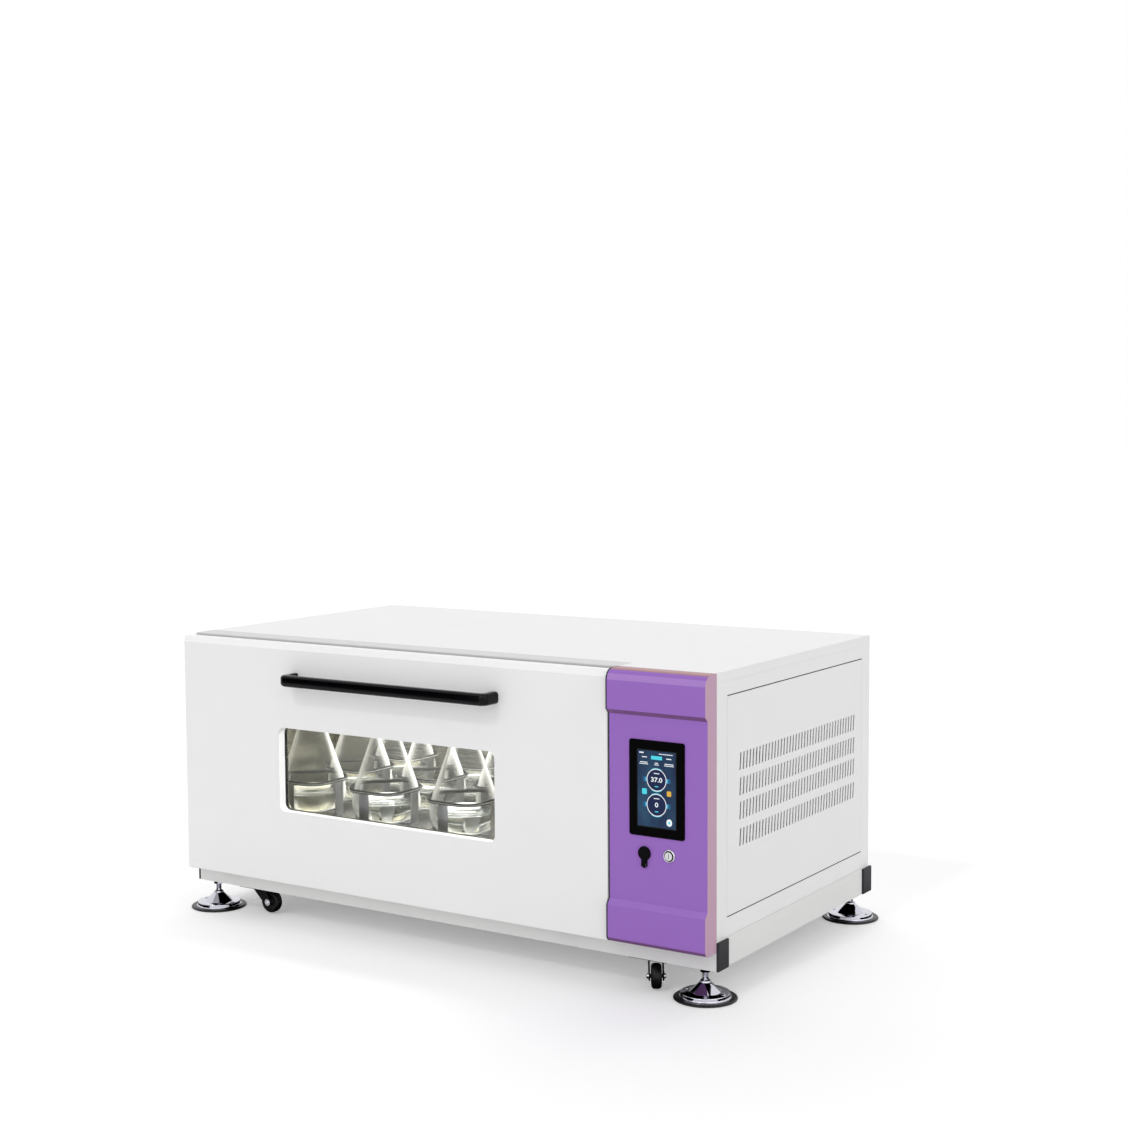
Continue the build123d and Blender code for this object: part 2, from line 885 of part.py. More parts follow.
# Orbital drive: bed, bearings, cranks, pulleys and belt
with BuildPart() as drive_bed:
    with BuildSketch(level(bed_low)):
        with Locations((deck_x, deck_y)):
            Rectangle(bed_width, bed_depth)
    extrude(amount=bed_thickness)
    for side in (-1, 1):
        rail_x = deck_x + side * (bed_width - bed_rail_width) / 2
        block(
            (rail_x - bed_rail_width / 2, rail_x + bed_rail_width / 2),
            (deck_y - bed_depth / 2, deck_y + bed_depth / 2),
            (pan_floor, bed_low),
        )
    with BuildSketch(level(bed_low)):
        with Locations(*crank_points):
            RegularPolygon(journal_radius + 1, small_sides, major_radius=False)
    extrude(amount=bed_thickness, mode=Mode.SUBTRACT)

with BuildPart() as bearing_housings:
    with BuildSketch(level(bed_top)):
        with Locations(*crank_points):
            Rectangle(housing_flange[0], housing_flange[0])
    extrude(amount=housing_flange[1])
    with BuildSketch(level(bed_top)):
        with Locations(*crank_points):
            RegularPolygon(housing_radius, round_sides)
    extrude(amount=housing_height)
    with BuildSketch(level(bed_top)):
        with Locations(*crank_points):
            RegularPolygon(journal_radius + shaft_gap, round_sides, major_radius=False)
    extrude(amount=housing_height, mode=Mode.SUBTRACT)


# Each crank is a journal, a thrust collar, a web and an eccentric pin, standing in its housing
cranks = {}
crank_names = ("eccentric_shaft", "idler_crank_left", "idler_crank_right")
for name, crank, pin in zip(crank_names, crank_points, pin_points):
    with BuildPart() as crank_piece:
        with BuildSketch(level(bed_low)):
            with Locations(crank):
                RegularPolygon(journal_radius, round_sides)
        extrude(amount=pulley_top - bed_low)
        with BuildSketch(level(web_top)):
            with Locations(pin):
                RegularPolygon(pin_radius, round_sides)
        extrude(amount=pin_top - web_top)
        with BuildSketch(level(pulley_top)):
            with Locations(crank, pin):
                RegularPolygon(web_radius, round_sides)
            make_hull()
        extrude(amount=web_thickness)
        if name == "eccentric_shaft":
            with BuildSketch(level(collar_low)):
                with Locations(crank):
                    RegularPolygon(collar_radius, round_sides)
            extrude(amount=collar_height)
            with BuildSketch(level(pulley_top)):
                with Locations(crank):
                    RegularPolygon(counterweight_radius, round_sides)
                with Locations((drive_x + counterweight_radius, drive_y)):
                    Rectangle(
                        2 * counterweight_radius, 2 * counterweight_radius, mode=Mode.SUBTRACT
                    )
            extrude(amount=web_thickness)
    cranks[name] = crank_piece

with BuildPart() as drive_pulley:
    with BuildSketch(level(pulley_low)):
        with Locations((drive_x, drive_y)):
            RegularPolygon(pulley_radius, pulley_teeth)
            RegularPolygon(
                journal_radius + shaft_gap,
                round_sides,
                major_radius=False,
                mode=Mode.SUBTRACT,
            )
    extrude(amount=pulley_height)

with BuildPart() as drive_motor:
    with BuildSketch(level(bed_top)):
        with Locations((motor_x, motor_y)):
            RegularPolygon(motor_radius, round_sides)
            RegularPolygon(
                motor_shaft_radius + shaft_gap,
                small_sides,
                major_radius=False,
                mode=Mode.SUBTRACT,
            )
    extrude(amount=motor_height)

with BuildPart() as motor_pulley:
    with BuildSketch(level(bed_top)):
        with Locations((motor_x, motor_y)):
            RegularPolygon(motor_shaft_radius, small_sides)
    extrude(amount=pulley_low - bed_top)
    with BuildSketch(level(pulley_low)):
        with Locations((motor_x, motor_y)):
            RegularPolygon(motor_pulley_radius, motor_teeth)
    extrude(amount=pulley_height)

with BuildPart() as drive_belt:
    belt_low = pulley_low + (pulley_height - belt_height) / 2
    for reach, mode in ((running_gap + belt_thickness, Mode.ADD), (running_gap, Mode.SUBTRACT)):
        with BuildSketch(level(belt_low)):
            with Locations((drive_x, drive_y)):
                RegularPolygon(pulley_radius + reach, pulley_teeth, major_radius=False)
            with Locations((motor_x, motor_y)):
                RegularPolygon(motor_pulley_radius + reach, motor_teeth, major_radius=False)
            make_hull()
        extrude(amount=belt_height, mode=mode)

# Platform: tray on a carrier with three bushes
with BuildPart() as platform_tray:
    with BuildSketch(level(deck_top - platform_rim)):
        with Locations((deck_x, deck_y)):
            RectangleRounded(platform_width, platform_depth, platform_corner)
    extrude(amount=platform_rim)
    with BuildSketch(level(deck_top - platform_rim)):
        with Locations((deck_x, deck_y)):
            RectangleRounded(
                platform_width - 2 * platform_sheet,
                platform_depth - 2 * platform_sheet,
                platform_corner - platform_sheet,
            )
    extrude(amount=platform_rim - platform_sheet, mode=Mode.SUBTRACT)

with BuildPart() as platform_carrier:
    carrier_size = (platform_width - 2 * carrier_inset, platform_depth - 2 * carrier_inset)
    with BuildSketch(level(deck_under - carrier_height)):
        with Locations((deck_x, deck_y)):
            Rectangle(*carrier_size)
            Rectangle(
                carrier_size[0] - 2 * carrier_sheet,
                carrier_size[1] - 2 * carrier_sheet,
                mode=Mode.SUBTRACT,
            )
    extrude(amount=carrier_height)
    with BuildSketch(level(deck_under - carrier_sheet)):
        with Locations((deck_x, deck_y)):
            Rectangle(*carrier_size)
    extrude(amount=carrier_sheet)
    with BuildSketch(level(bush_low)):
        with Locations(*pin_points):
            RegularPolygon(bush_radius, round_sides)
    extrude(amount=bush_height)
    with BuildSketch(level(bush_low)):
        with Locations(*pin_points):
            RegularPolygon(pin_radius + shaft_gap, round_sides, major_radius=False)
    extrude(amount=bush_height, mode=Mode.SUBTRACT)

flask_points = [
    (
        deck_x + (column - (platform_columns - 1) / 2) * column_pitch,
        deck_y + (row - (flask_rows - 1) / 2) * row_pitch,
    )
    for column in range(flask_columns)
    for row in range(flask_rows)
]
strap_radius = flask_radius + clamp_gap
flask_low = deck_top + clamp_sheet

# Spring clamps: a cross on the tray with four straps bent up round each flask
with BuildPart() as flask_clamps:
    for x, y in flask_points:
        with BuildSketch(level(deck_top)):
            with Locations((x, y)):
                Rectangle(2 * (strap_radius + clamp_sheet), clamp_strap)
                Rectangle(clamp_strap, 2 * (strap_radius + clamp_sheet))
        extrude(amount=clamp_sheet)
        with BuildSketch(level(deck_top)):
            with Locations((x, y)):
                with PolarLocations(strap_radius + clamp_sheet / 2, 4):
                    Rectangle(clamp_sheet, clamp_strap)
        extrude(amount=clamp_height)

with BuildPart() as clamp_springs:
    for x, y in flask_points:
        with BuildSketch(level(deck_top + clamp_height - spring_height)):
            for reach, mode in ((0, Mode.ADD), (spring_thickness, Mode.SUBTRACT)):
                with Locations((x, y)):
                    RegularPolygon(
                        strap_radius - running_gap - reach,
                        spring_sides,
                        major_radius=False,
                        rotation=180 / spring_sides,
                        mode=mode,
                    )
        extrude(amount=spring_height)

flask_sections = (
    (flask_radius, 0),
    (flask_radius, flask_foot_height),
    flask_waist,
    (flask_neck_radius, flask_cone_height),
    (flask_neck_radius, flask_height),
)
with BuildPart() as flasks:
    for (low_radius, low), (high_radius, high) in zip(flask_sections, flask_sections[1:]):
        with BuildSketch(level(flask_low + low)):
            with Locations(*flask_points):
                RegularPolygon(
                    low_radius, flask_sides, major_radius=False, rotation=180 / flask_sides
                )
        extrude(amount=high - low, taper=degrees(atan2(low_radius - high_radius, high - low)))

# Air duct behind the chamber: fan, motor and finned coil
with BuildPart() as fan_impeller:
    disc_front = chamber_rear - running_gap - 2 * fan_disc
    with BuildSketch(front_plane(disc_front + fan_disc)):
        with Locations((fan_x, fan_z)):
            RegularPolygon(fan_radius, 4 * fan_blade_count)
    extrude(amount=fan_disc)
    with BuildSketch(front_plane(disc_front)):
        with Locations((fan_x, fan_z)):
            RegularPolygon(fan_hub_radius, 2 * fan_blade_count)
            with PolarLocations((fan_radius + fan_hub_radius) / 2, fan_blade_count):
                Rectangle(
                    fan_radius - fan_hub_radius - fan_disc, fan_blade_sheet, rotation=fan_blade_lean
                )
    extrude(amount=fan_blade)
    with BuildSketch(front_plane(disc_front + fan_disc)):
        with Locations((fan_x, fan_z)):
            RegularPolygon(fan_shaft_radius, small_sides)
    extrude(amount=-fan_motor_length)

with BuildPart() as fan_motor:
    with BuildSketch(front_plane(chamber_rear + sheet)):
        with Locations((fan_x, fan_z)):
            RegularPolygon(fan_motor_radius, round_sides)
            RegularPolygon(
                fan_shaft_radius + shaft_gap,
                small_sides,
                major_radius=False,
                mode=Mode.SUBTRACT,
            )
    extrude(amount=-fan_motor_length)

with BuildPart() as air_coil:
    coil_x = (chamber_left + coil_left, chamber_left + coil_left + coil_width)
    coil_z = (chamber_low + coil_low, chamber_low + coil_low + coil_height)
    block(coil_x, (chamber_rear - coil_depth, chamber_rear), coil_z)
    coil_grooves = int((coil_height - coil_fin_gap) // coil_fin_pitch)
    for groove in range(coil_grooves):
        lift = (groove - (coil_grooves - 1) / 2) * coil_fin_pitch
        with Locations((sum(coil_x) / 2, chamber_rear - coil_depth, sum(coil_z) / 2 + lift)):
            Box(
                coil_width - 2 * coil_fin_gap,
                2 * coil_fin_depth,
                coil_fin_gap,
                mode=Mode.SUBTRACT,
            )

# Cooling set behind the vent slots
compressor_x = wall_right - compressor_side
compressor_y = y_rear - compressor_rear
with BuildPart() as compressor:
    block(
        (compressor_x - compressor_plate[0] / 2, compressor_x + compressor_plate[0] / 2),
        (compressor_y - compressor_plate[1] / 2, compressor_y + compressor_plate[1] / 2),
        (pan_floor, pan_floor + compressor_plate[2]),
    )
    with BuildSketch(level(pan_floor)):
        with Locations((compressor_x, compressor_y)):
            RegularPolygon(compressor_radius, compressor_sides)
    extrude(amount=compressor_height)
    chamfer(compressor.faces().sort_by(Axis.Z)[-1].edges(), compressor_dome)

condenser_x = (wall_right - condenser_side - condenser_thickness, wall_right - condenser_side)
condenser_y = (y_front + condenser_front, y_front + condenser_front + condenser_length)
condenser_z = (base_z + condenser_low, base_z + condenser_low + condenser_height)
blower_y = sum(condenser_y) / 2
blower_z = sum(condenser_z) / 2
blower_face = condenser_x[0] - blower_gap
blower_motor_face = blower_face - blower_hub_length - running_gap
with BuildPart() as condenser:
    block(condenser_x, condenser_y, condenser_z)
    condenser_grooves = int((condenser_height - condenser_fin_gap) // condenser_fin_pitch)
    for groove in range(condenser_grooves):
        lift = (groove - (condenser_grooves - 1) / 2) * condenser_fin_pitch
        with Locations((condenser_x[1], blower_y, blower_z + lift)):
            Box(
                2 * condenser_fin_depth,
                condenser_length - 2 * condenser_fin_gap,
                condenser_fin_gap,
                mode=Mode.SUBTRACT,
            )
    for low_y in (condenser_y[0], condenser_y[1] - condenser_leg):
        block(
            condenser_x, (low_y, low_y + condenser_leg), (pan_floor, condenser_z[0])
        )
    with BuildSketch(side_plane(blower_motor_face - blower_motor_length)):
        with Locations((blower_y, blower_z)):
            RegularPolygon(blower_motor_radius, round_sides)
            RegularPolygon(
                blower_shaft_radius + shaft_gap,
                small_sides,
                major_radius=False,
                mode=Mode.SUBTRACT,
            )
    extrude(amount=blower_motor_length)
    block(
        (
            blower_motor_face - blower_motor_length - blower_post[1],
            blower_motor_face - blower_motor_length,
        ),
        (blower_y - blower_post[0] / 2, blower_y + blower_post[0] / 2),
        (pan_floor, blower_z + blower_post[0] / 2),
    )

with BuildPart() as condenser_fan:
    with BuildSketch(side_plane(blower_face - blower_hub_length)):
        with Locations((blower_y, blower_z)):
            RegularPolygon(blower_hub_radius, round_sides)
    extrude(amount=blower_hub_length)
    with BuildSketch(side_plane(blower_motor_face - blower_motor_length / 2)):
        with Locations((blower_y, blower_z)):
            RegularPolygon(blower_shaft_radius, small_sides)
    extrude(amount=blower_motor_length / 2 + running_gap + 1)
    hub_centre = (blower_face - blower_hub_length / 2, blower_y, blower_z)
    blade_span = blower_radius - blower_hub_radius + fan_disc
    for blade in range(blower_blade_count):
        turn = Location(hub_centre) * Location((0, 0, 0), (blade * 360 / blower_blade_count, 0, 0))
        with Locations(turn * Location((0, 0, blower_radius - blade_span / 2), (0, 0, blower_pitch))):
            Box(blower_blade_sheet, blower_blade_width, blade_span)

# Mains inlet with its rocker switch
rocker_x = inlet_x + rocker_offset
rocker_y = rear_panel_y + inlet_plate[2] - rocker_pivot_depth
with BuildPart() as power_inlet:
    with BuildSketch(front_plane(rear_panel_y)):
        with Locations((inlet_x, inlet_z)):
            Rectangle(inlet_plate[0], inlet_plate[1])
    extrude(amount=-inlet_plate[2])
    block(
        (inlet_x - inlet_body[0] / 2, inlet_x + inlet_body[0] / 2),
        (rear_panel_y - inlet_body[2], rear_panel_y),
        (inlet_z - inlet_body[1] / 2, inlet_z + inlet_body[1] / 2),
    )
    block(
        (
            inlet_x - socket_offset - socket_size[0] / 2,
            inlet_x - socket_offset + socket_size[0] / 2,
        ),
        (rear_panel_y + inlet_plate[2] - socket_size[2], rear_panel_y + inlet_plate[2]),
        (inlet_z - socket_size[1] / 2, inlet_z + socket_size[1] / 2),
        mode=Mode.SUBTRACT,
    )
    with Locations(Location((rocker_x, rocker_y, inlet_z), (0, 90, 0))):
        Cylinder(rocker_pocket, rocker_width + 2 * running_gap, mode=Mode.SUBTRACT)
        Cylinder(rocker_pin[0] + shaft_gap, rocker_pin[1] + 1, mode=Mode.SUBTRACT)

with BuildPart() as power_rocker:
    rocker_plane = Plane(
        origin=(rocker_x - rocker_width / 2, rocker_y, inlet_z),
        x_dir=Vector(0, 1, 0).rotate(Axis.X, rocker_tilt),
        z_dir=(1, 0, 0),
    )
    with BuildSketch(rocker_plane):
        with BuildLine():
            Polyline(
                (rocker_end, -rocker_half),
                (rocker_dip, 0),
                (rocker_end, rocker_half),
                (-rocker_depth, rocker_half),
                (-rocker_depth, -rocker_half),
                close=True,
            )
        make_face()
    extrude(amount=rocker_width)
    with Locations(Location((rocker_x, rocker_y, inlet_z), (0, 90, 0))):
        Cylinder(rocker_pin[0], rocker_pin[1])

pieces = {
    "base_frame": base_frame,
    "corner_bumpers": corner_bumpers,
    "roof_cover": roof_cover,
    "left_side_panel": left_side_panel,
    "right_side_panel": right_side_panel,
    "vent_panel": vent_panel,
    "rear_panel": rear_panel,
    "front_frame": front_frame,
    "chamber_liner": chamber_liner,
    "duct_cover": duct_cover,
    "door_shell": door_shell,
    "door_liner": door_liner,
    "outer_glass": outer_glass,
    "inner_glass": inner_glass,
    "glass_spacer": glass_spacer,
    "door_gasket": door_gasket,
    "door_handle": door_handle,
    "hinge_brackets": hinge_brackets,
    "control_panel": control_panel,
    "screen_glass": screen_glass,
    "display_module": display_module,
    "lock_ring": lock_ring,
    "lock_barrel": lock_barrel,
    "data_port": data_port,
    "port_cap": port_cap,
    "drive_bed": drive_bed,
    "bearing_housings": bearing_housings,
    **cranks,
    "drive_pulley": drive_pulley,
    "drive_motor": drive_motor,
    "motor_pulley": motor_pulley,
    "drive_belt": drive_belt,
    "platform_tray": platform_tray,
    "platform_carrier": platform_carrier,
    "flask_clamps": flask_clamps,
    "clamp_springs": clamp_springs,
    "flasks": flasks,
    "fan_impeller": fan_impeller,
    "fan_motor": fan_motor,
    "air_coil": air_coil,
    "compressor": compressor,
    "condenser": condenser,
    "condenser_fan": condenser_fan,
    "power_inlet": power_inlet,
    "power_rocker": power_rocker,
}

# Levelling feet: rubber pad, chrome dish with its stem, and lock nut
foot_places = {
    "foot_front_left": (-foot_x, foot_ys[0]),
    "foot_front_right": (foot_x, foot_ys[0]),
    "foot_rear_left": (-foot_x, foot_ys[1]),
    "foot_rear_right": (foot_x, foot_ys[1]),
}
dish_low = foot_pad + pad_seat
rim_top = dish_low + foot_rim_height
cone_top = rim_top + foot_cone_height
foot_cone_lean = degrees(atan2(foot_cone_radius - foot_cone_top, foot_cone_height))
nut_top = base_z - running_gap
for name, (x, y) in foot_places.items():
    with BuildPart() as foot:
        for radius, low, high in (
            (foot_radius, 0, foot_pad),
            (foot_rim_radius, dish_low, rim_top),
        ):
            with BuildSketch(level(low)):
                with Locations((x, y)):
                    RegularPolygon(radius, round_sides)
            extrude(amount=high - low)
        with BuildSketch(level(rim_top)):
            with Locations((x, y)):
                RegularPolygon(foot_cone_radius, round_sides, major_radius=False)
        extrude(amount=foot_cone_height, taper=foot_cone_lean)
        with BuildSketch(level(cone_top)):
            with Locations((x, y)):
                RegularPolygon(foot_stem_radius, small_sides)
        extrude(amount=base_z + foot_stem_inside - cone_top)
        with BuildSketch(level(nut_top - foot_nut_height)):
            with Locations((x, y)):
                RegularPolygon(foot_nut_flats / 2, 6, major_radius=False)
                RegularPolygon(
                    foot_stem_radius + shaft_gap,
                    small_sides,
                    major_radius=False,
                    mode=Mode.SUBTRACT,
                )
        extrude(amount=foot_nut_height)
    pieces[name] = foot

# Castors: a plate with its race and kingpin, a swivelling fork and a wheel
plate_low = base_z - caster_plate[2]
race_low = plate_low - race_height
bridge_top = race_low - running_gap
bridge_low = bridge_top - fork_sheet
wheel_z = wheel_radius + wheel_lift
fork_inside = wheel_width / 2 + fork_gap
caster_places = {
    "front_left": (-caster_x, caster_ys[0], caster_ways[0]),
    "front_right": (caster_x, caster_ys[0], caster_ways[1]),
    "rear_left": (-caster_x, caster_ys[1], caster_ways[2]),
    "rear_right": (caster_x, caster_ys[1], caster_ways[3]),
}

with BuildPart() as caster_plates:
    for x, y, way in caster_places.values():
        with BuildSketch(level(race_low)):
            with Locations((x, y)):
                RegularPolygon(race_radius, small_sides)
        extrude(amount=race_height)
        with BuildSketch(level(bridge_low)):
            with Locations((x, y)):
                RegularPolygon(kingpin_radius, small_sides)
        extrude(amount=plate_low - bridge_low)
        with BuildSketch(level(plate_low)):
            with Locations((x, y)):
                Rectangle(caster_plate[0], caster_plate[1])
        extrude(amount=caster_plate[2])
pieces["caster_plates"] = caster_plates

for place, (x, y, way) in caster_places.items():
    trail = (cos(radians(way)), sin(radians(way)))
    axle_way = (trail[1], -trail[0], 0)
    hub = (x + caster_trail * trail[0], y + caster_trail * trail[1], wheel_z)
    side_view = Plane(origin=hub, x_dir=(trail[0], trail[1], 0), z_dir=axle_way)
    with BuildPart() as fork:
        for side in (-1, 1):
            with BuildSketch(side_view.offset(side * (fork_inside + fork_sheet / 2))):
                RegularPolygon(fork_end_radius, small_sides)
                with Locations((-caster_trail, bridge_top - wheel_z - fork_sheet / 2)):
                    Rectangle(2 * fork_top_reach, fork_sheet)
                make_hull()
            extrude(amount=fork_sheet / 2, both=True)
        with BuildSketch(level(bridge_low)):
            with Locations((x, y)):
                Rectangle(2 * fork_top_reach, 2 * (fork_inside + fork_sheet), rotation=way)
            with Locations((x, y)):
                RegularPolygon(
                    kingpin_radius + shaft_gap,
                    small_sides,
                    major_radius=False,
                    mode=Mode.SUBTRACT,
                )
        extrude(amount=fork_sheet)
        with BuildSketch(side_view.offset(-fork_inside)):
            RegularPolygon(axle_radius, small_sides)
        extrude(amount=2 * fork_inside)
    pieces[f"caster_fork_{place}"] = fork
    with BuildPart() as wheel:
        with BuildSketch(side_view.offset(-wheel_width / 2)):
            RegularPolygon(wheel_radius, round_sides)
        extrude(amount=wheel_width)
        side_faces = wheel.faces().sort_by(Axis(hub, axle_way))
        chamfer(side_faces[0].edges() + side_faces[-1].edges(), wheel_round)
        with BuildSketch(side_view.offset(-wheel_width / 2)):
            RegularPolygon(axle_radius + shaft_gap, small_sides, major_radius=False)
        extrude(amount=wheel_width, mode=Mode.SUBTRACT)
    pieces[f"caster_wheel_{place}"] = wheel

for name, piece in pieces.items():
    piece.part.label = name
    export_step(piece.part, f"parts/{name}.step")
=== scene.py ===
"""Looks of a low incubator shaker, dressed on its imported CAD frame. Everything is in metres."""

import json
import math

import bmesh
import bpy
from mathutils import Matrix, Vector


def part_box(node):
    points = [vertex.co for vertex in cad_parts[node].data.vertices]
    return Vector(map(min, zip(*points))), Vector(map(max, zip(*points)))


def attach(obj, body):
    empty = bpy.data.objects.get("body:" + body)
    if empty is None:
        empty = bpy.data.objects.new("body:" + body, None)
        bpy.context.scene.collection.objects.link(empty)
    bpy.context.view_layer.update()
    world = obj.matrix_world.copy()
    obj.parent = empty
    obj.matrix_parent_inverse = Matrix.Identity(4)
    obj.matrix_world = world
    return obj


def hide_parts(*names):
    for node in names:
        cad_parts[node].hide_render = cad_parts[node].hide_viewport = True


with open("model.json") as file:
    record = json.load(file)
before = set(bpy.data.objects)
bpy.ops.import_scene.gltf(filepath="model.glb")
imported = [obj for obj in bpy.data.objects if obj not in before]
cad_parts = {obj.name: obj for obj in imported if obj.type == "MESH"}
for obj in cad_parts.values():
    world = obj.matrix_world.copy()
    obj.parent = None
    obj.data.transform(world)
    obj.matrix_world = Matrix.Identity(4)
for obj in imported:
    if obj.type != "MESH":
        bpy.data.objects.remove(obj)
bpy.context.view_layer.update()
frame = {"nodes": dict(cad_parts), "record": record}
nodes = frame["nodes"]
scene = bpy.context.scene

# Camera, from lines fitted on the photograph
CAMERA_PLACE = Vector((2.2636, -3.3036, 1.0991))
CAMERA_YAW = math.radians(33.084)
CAMERA_DROP = math.radians(4.468)
CAMERA_ROLL = math.radians(-0.328)
CAMERA_LENS = 57.98

# Light on plain surfaces, where 1 shows a colour as it is written
SKY_LEVEL = 0.46
FLOOR_BOUNCE = 0.86
FLOOR_SEEN = 0.80
FLOOR_LIFT = 0.26
FLOOR_REACH = 60.0

# Flasks on the platform
FLASK_COLUMNS = 3
FLASK_ROWS = 3
FLASK_PITCH = (0.212, 0.168)
FLASK_RADIUS = 0.077
GLASS_WALL = 0.0018
LIQUID_LEVEL = 0.044
SPRING_UP = 0.0703
SPRING_RADIUS = 0.0760
COIL_RADIUS = 0.0042
COIL_DENT = 0.0006
COIL_TURNS = 170
COIL_WAVE = 0.0016
STRAP_GAP = 0.0007
STRAP_SHEET = 0.0014
STRAP_WIDTH = 0.026
STRAP_HEIGHT = 0.074

PLACES = ("front_left", "front_right", "rear_left", "rear_right")

# Levelling feet, upwards from the floor
PAD_RADIUS = 0.062
PAD_HEIGHT = 0.005
DISH_RADIUS = 0.048
DISH_TOP = 0.0131
CONE_RADIUS = (0.031, 0.0105)
CONE_TOP = 0.033
COLLAR_RADIUS = 0.0076
COLLAR_RISE = 0.0050
STEM_RADIUS = 0.006
THREAD_START = 0.008
THREAD_PITCH = 0.00175
THREAD_DEPTH = 0.0007
NUT_FLATS = 0.019
NUT_HEIGHT = 0.010
NUT_BEVEL = 0.0012
NUT_GAP = 0.0003
DISH_SCREW_REACH = 0.0395

# Dark flags round the feet and in front of the handle
FLAG_REACH = (0.064, 0.30)
FLAG_ANGLES = (42, 175)
FLAG_OVER = 0.11
FLAG_GAP = 0.0004
FRONT_FLAG_ENDS = (-3.4, -0.85)
FRONT_FLAG_PLACE = -2.2
FRONT_FLAG_TOP = 1.7

# Castors
WHEEL_RADIUS = 0.025
WHEEL_WIDTH = 0.020
AXLE_REACH = 0.015
WASHER_RADIUS = 0.0072
WASHER_THICK = 0.0008
PLATE_HALF = (0.0425, 0.0325)
PLATE_THICK = 0.0035
BOLT_RADIUS = 0.0048
PLATE_BOLTS = (0.032, 0.023)
CROWN_RISE = 0.0002

# Handle
HANDLE_CORNER = 0.015
HANDLE_ARM = 0.017
HANDLE_BAR = 0.015
HANDLE_STEPS = 10
HANDLE_EDGES = ((1, 1, 0.0064), (-1, 1, 0.0030), (-1, -1, 0.0040), (1, -1, 0.0074))

# Port cap, seams and the strip of painted shade at the control panel's left end
CAP_RADIUS = 0.0135
CAP_THICK = 0.0040
STRAP_HALF = 0.0063
STRAP_DROP = 0.0218
CAP_BEVEL = 0.0014
SEAM_WIDTH = 0.002
SEAM_PLAY = 0.00005
SEAM_SUNK = 0.0003
END_SHADE_WIDTH = 0.003

# Key switch
BEZEL_INSIDE = 0.0100
GROOVE_INSIDE = 0.0081

# Rear panel and mains socket
REAR_SCREW_SHARES = (0.04, 0.35, 0.65, 0.96)
REAR_SCREW_EDGES = (0.012, 0.032)
SOCKET_SHIFT = 0.015
PIN_PITCH = 0.007
PIN_DROP = 0.002
PIN_DEEP = 0.0145

# Bands of painted light and shade: the panel's painted highlight stripe and the door's painted
# highlight down from the top, and the roof's band of painted shade back from the front
HIGHLIGHT_DROP = (0.0205, 0.0085)
DOOR_HIGHLIGHT_DROP = 0.013
ROOF_SHADE_DEPTH = 0.055

# Display
FIELD_SIZE = (0.0825, 0.1455)
RING_RADIUS = 0.0208
RING_LIFTS = (0.0178, -0.0302)
DIGIT_SIZE = 0.0122
DIGIT_STRETCH = 1.2

# Lamp in the chamber's ceiling
CHAMBER_LAMP_SIZE = (0.8, 0.35)
CHAMBER_LAMP_POWER = 9.0
CHAMBER_LAMP_DROP = 0.006


def srgb(red, green, blue):
    """A colour written in 0 to 255 as Blender's linear colour."""
    linear = []
    for value in (red, green, blue):
        share = value / 255
        linear.append(share / 12.92 if share <= 0.04045 else ((share + 0.055) / 1.055) ** 2.4)
    return (*linear, 1.0)


def shade(colour, factor):
    """The same colour, lighter or darker."""
    return (*(min(1.0, channel * factor) for channel in colour[:3]), 1.0)


# Materials


def new_node(tree, kind, **values):
    """A shader node with its plain attributes set."""
    node = tree.nodes.new(kind)
    for key, value in values.items():
        setattr(node, key, value)
    return node


def noise(tree, coordinates, scale, detail=3.0):
    """A noise texture in the part's own space."""
    texture = new_node(tree, "ShaderNodeTexNoise")
    texture.inputs["Scale"].default_value = scale
    texture.inputs["Detail"].default_value = detail
    tree.links.new(coordinates, texture.inputs["Vector"])
    return texture.outputs["Fac"]


def spread_map(tree, value, low, high):
    """Maps a noise value's middle range to low and high."""
    mapped = new_node(tree, "ShaderNodeMapRange")
    mapped.inputs["From Min"].default_value = 0.3
    mapped.inputs["From Max"].default_value = 0.7
    mapped.inputs["To Min"].default_value = low
    mapped.inputs["To Max"].default_value = high
    tree.links.new(value, mapped.inputs["Value"])
    return mapped.outputs["Result"]


def mixed(tree, factor, first, second):
    """A colour between two colours."""
    mix = new_node(tree, "ShaderNodeMix", data_type="RGBA")
    tree.links.new(factor, mix.inputs["Factor"])
    for socket, colour in (("A", first), ("B", second)):
        place = [entry for entry in mix.inputs if entry.name == socket and entry.type == "RGBA"][0]
        if isinstance(colour, tuple):
            place.default_value = colour
        else:
            tree.links.new(colour, place)
    return [entry for entry in mix.outputs if entry.type == "RGBA"][0]


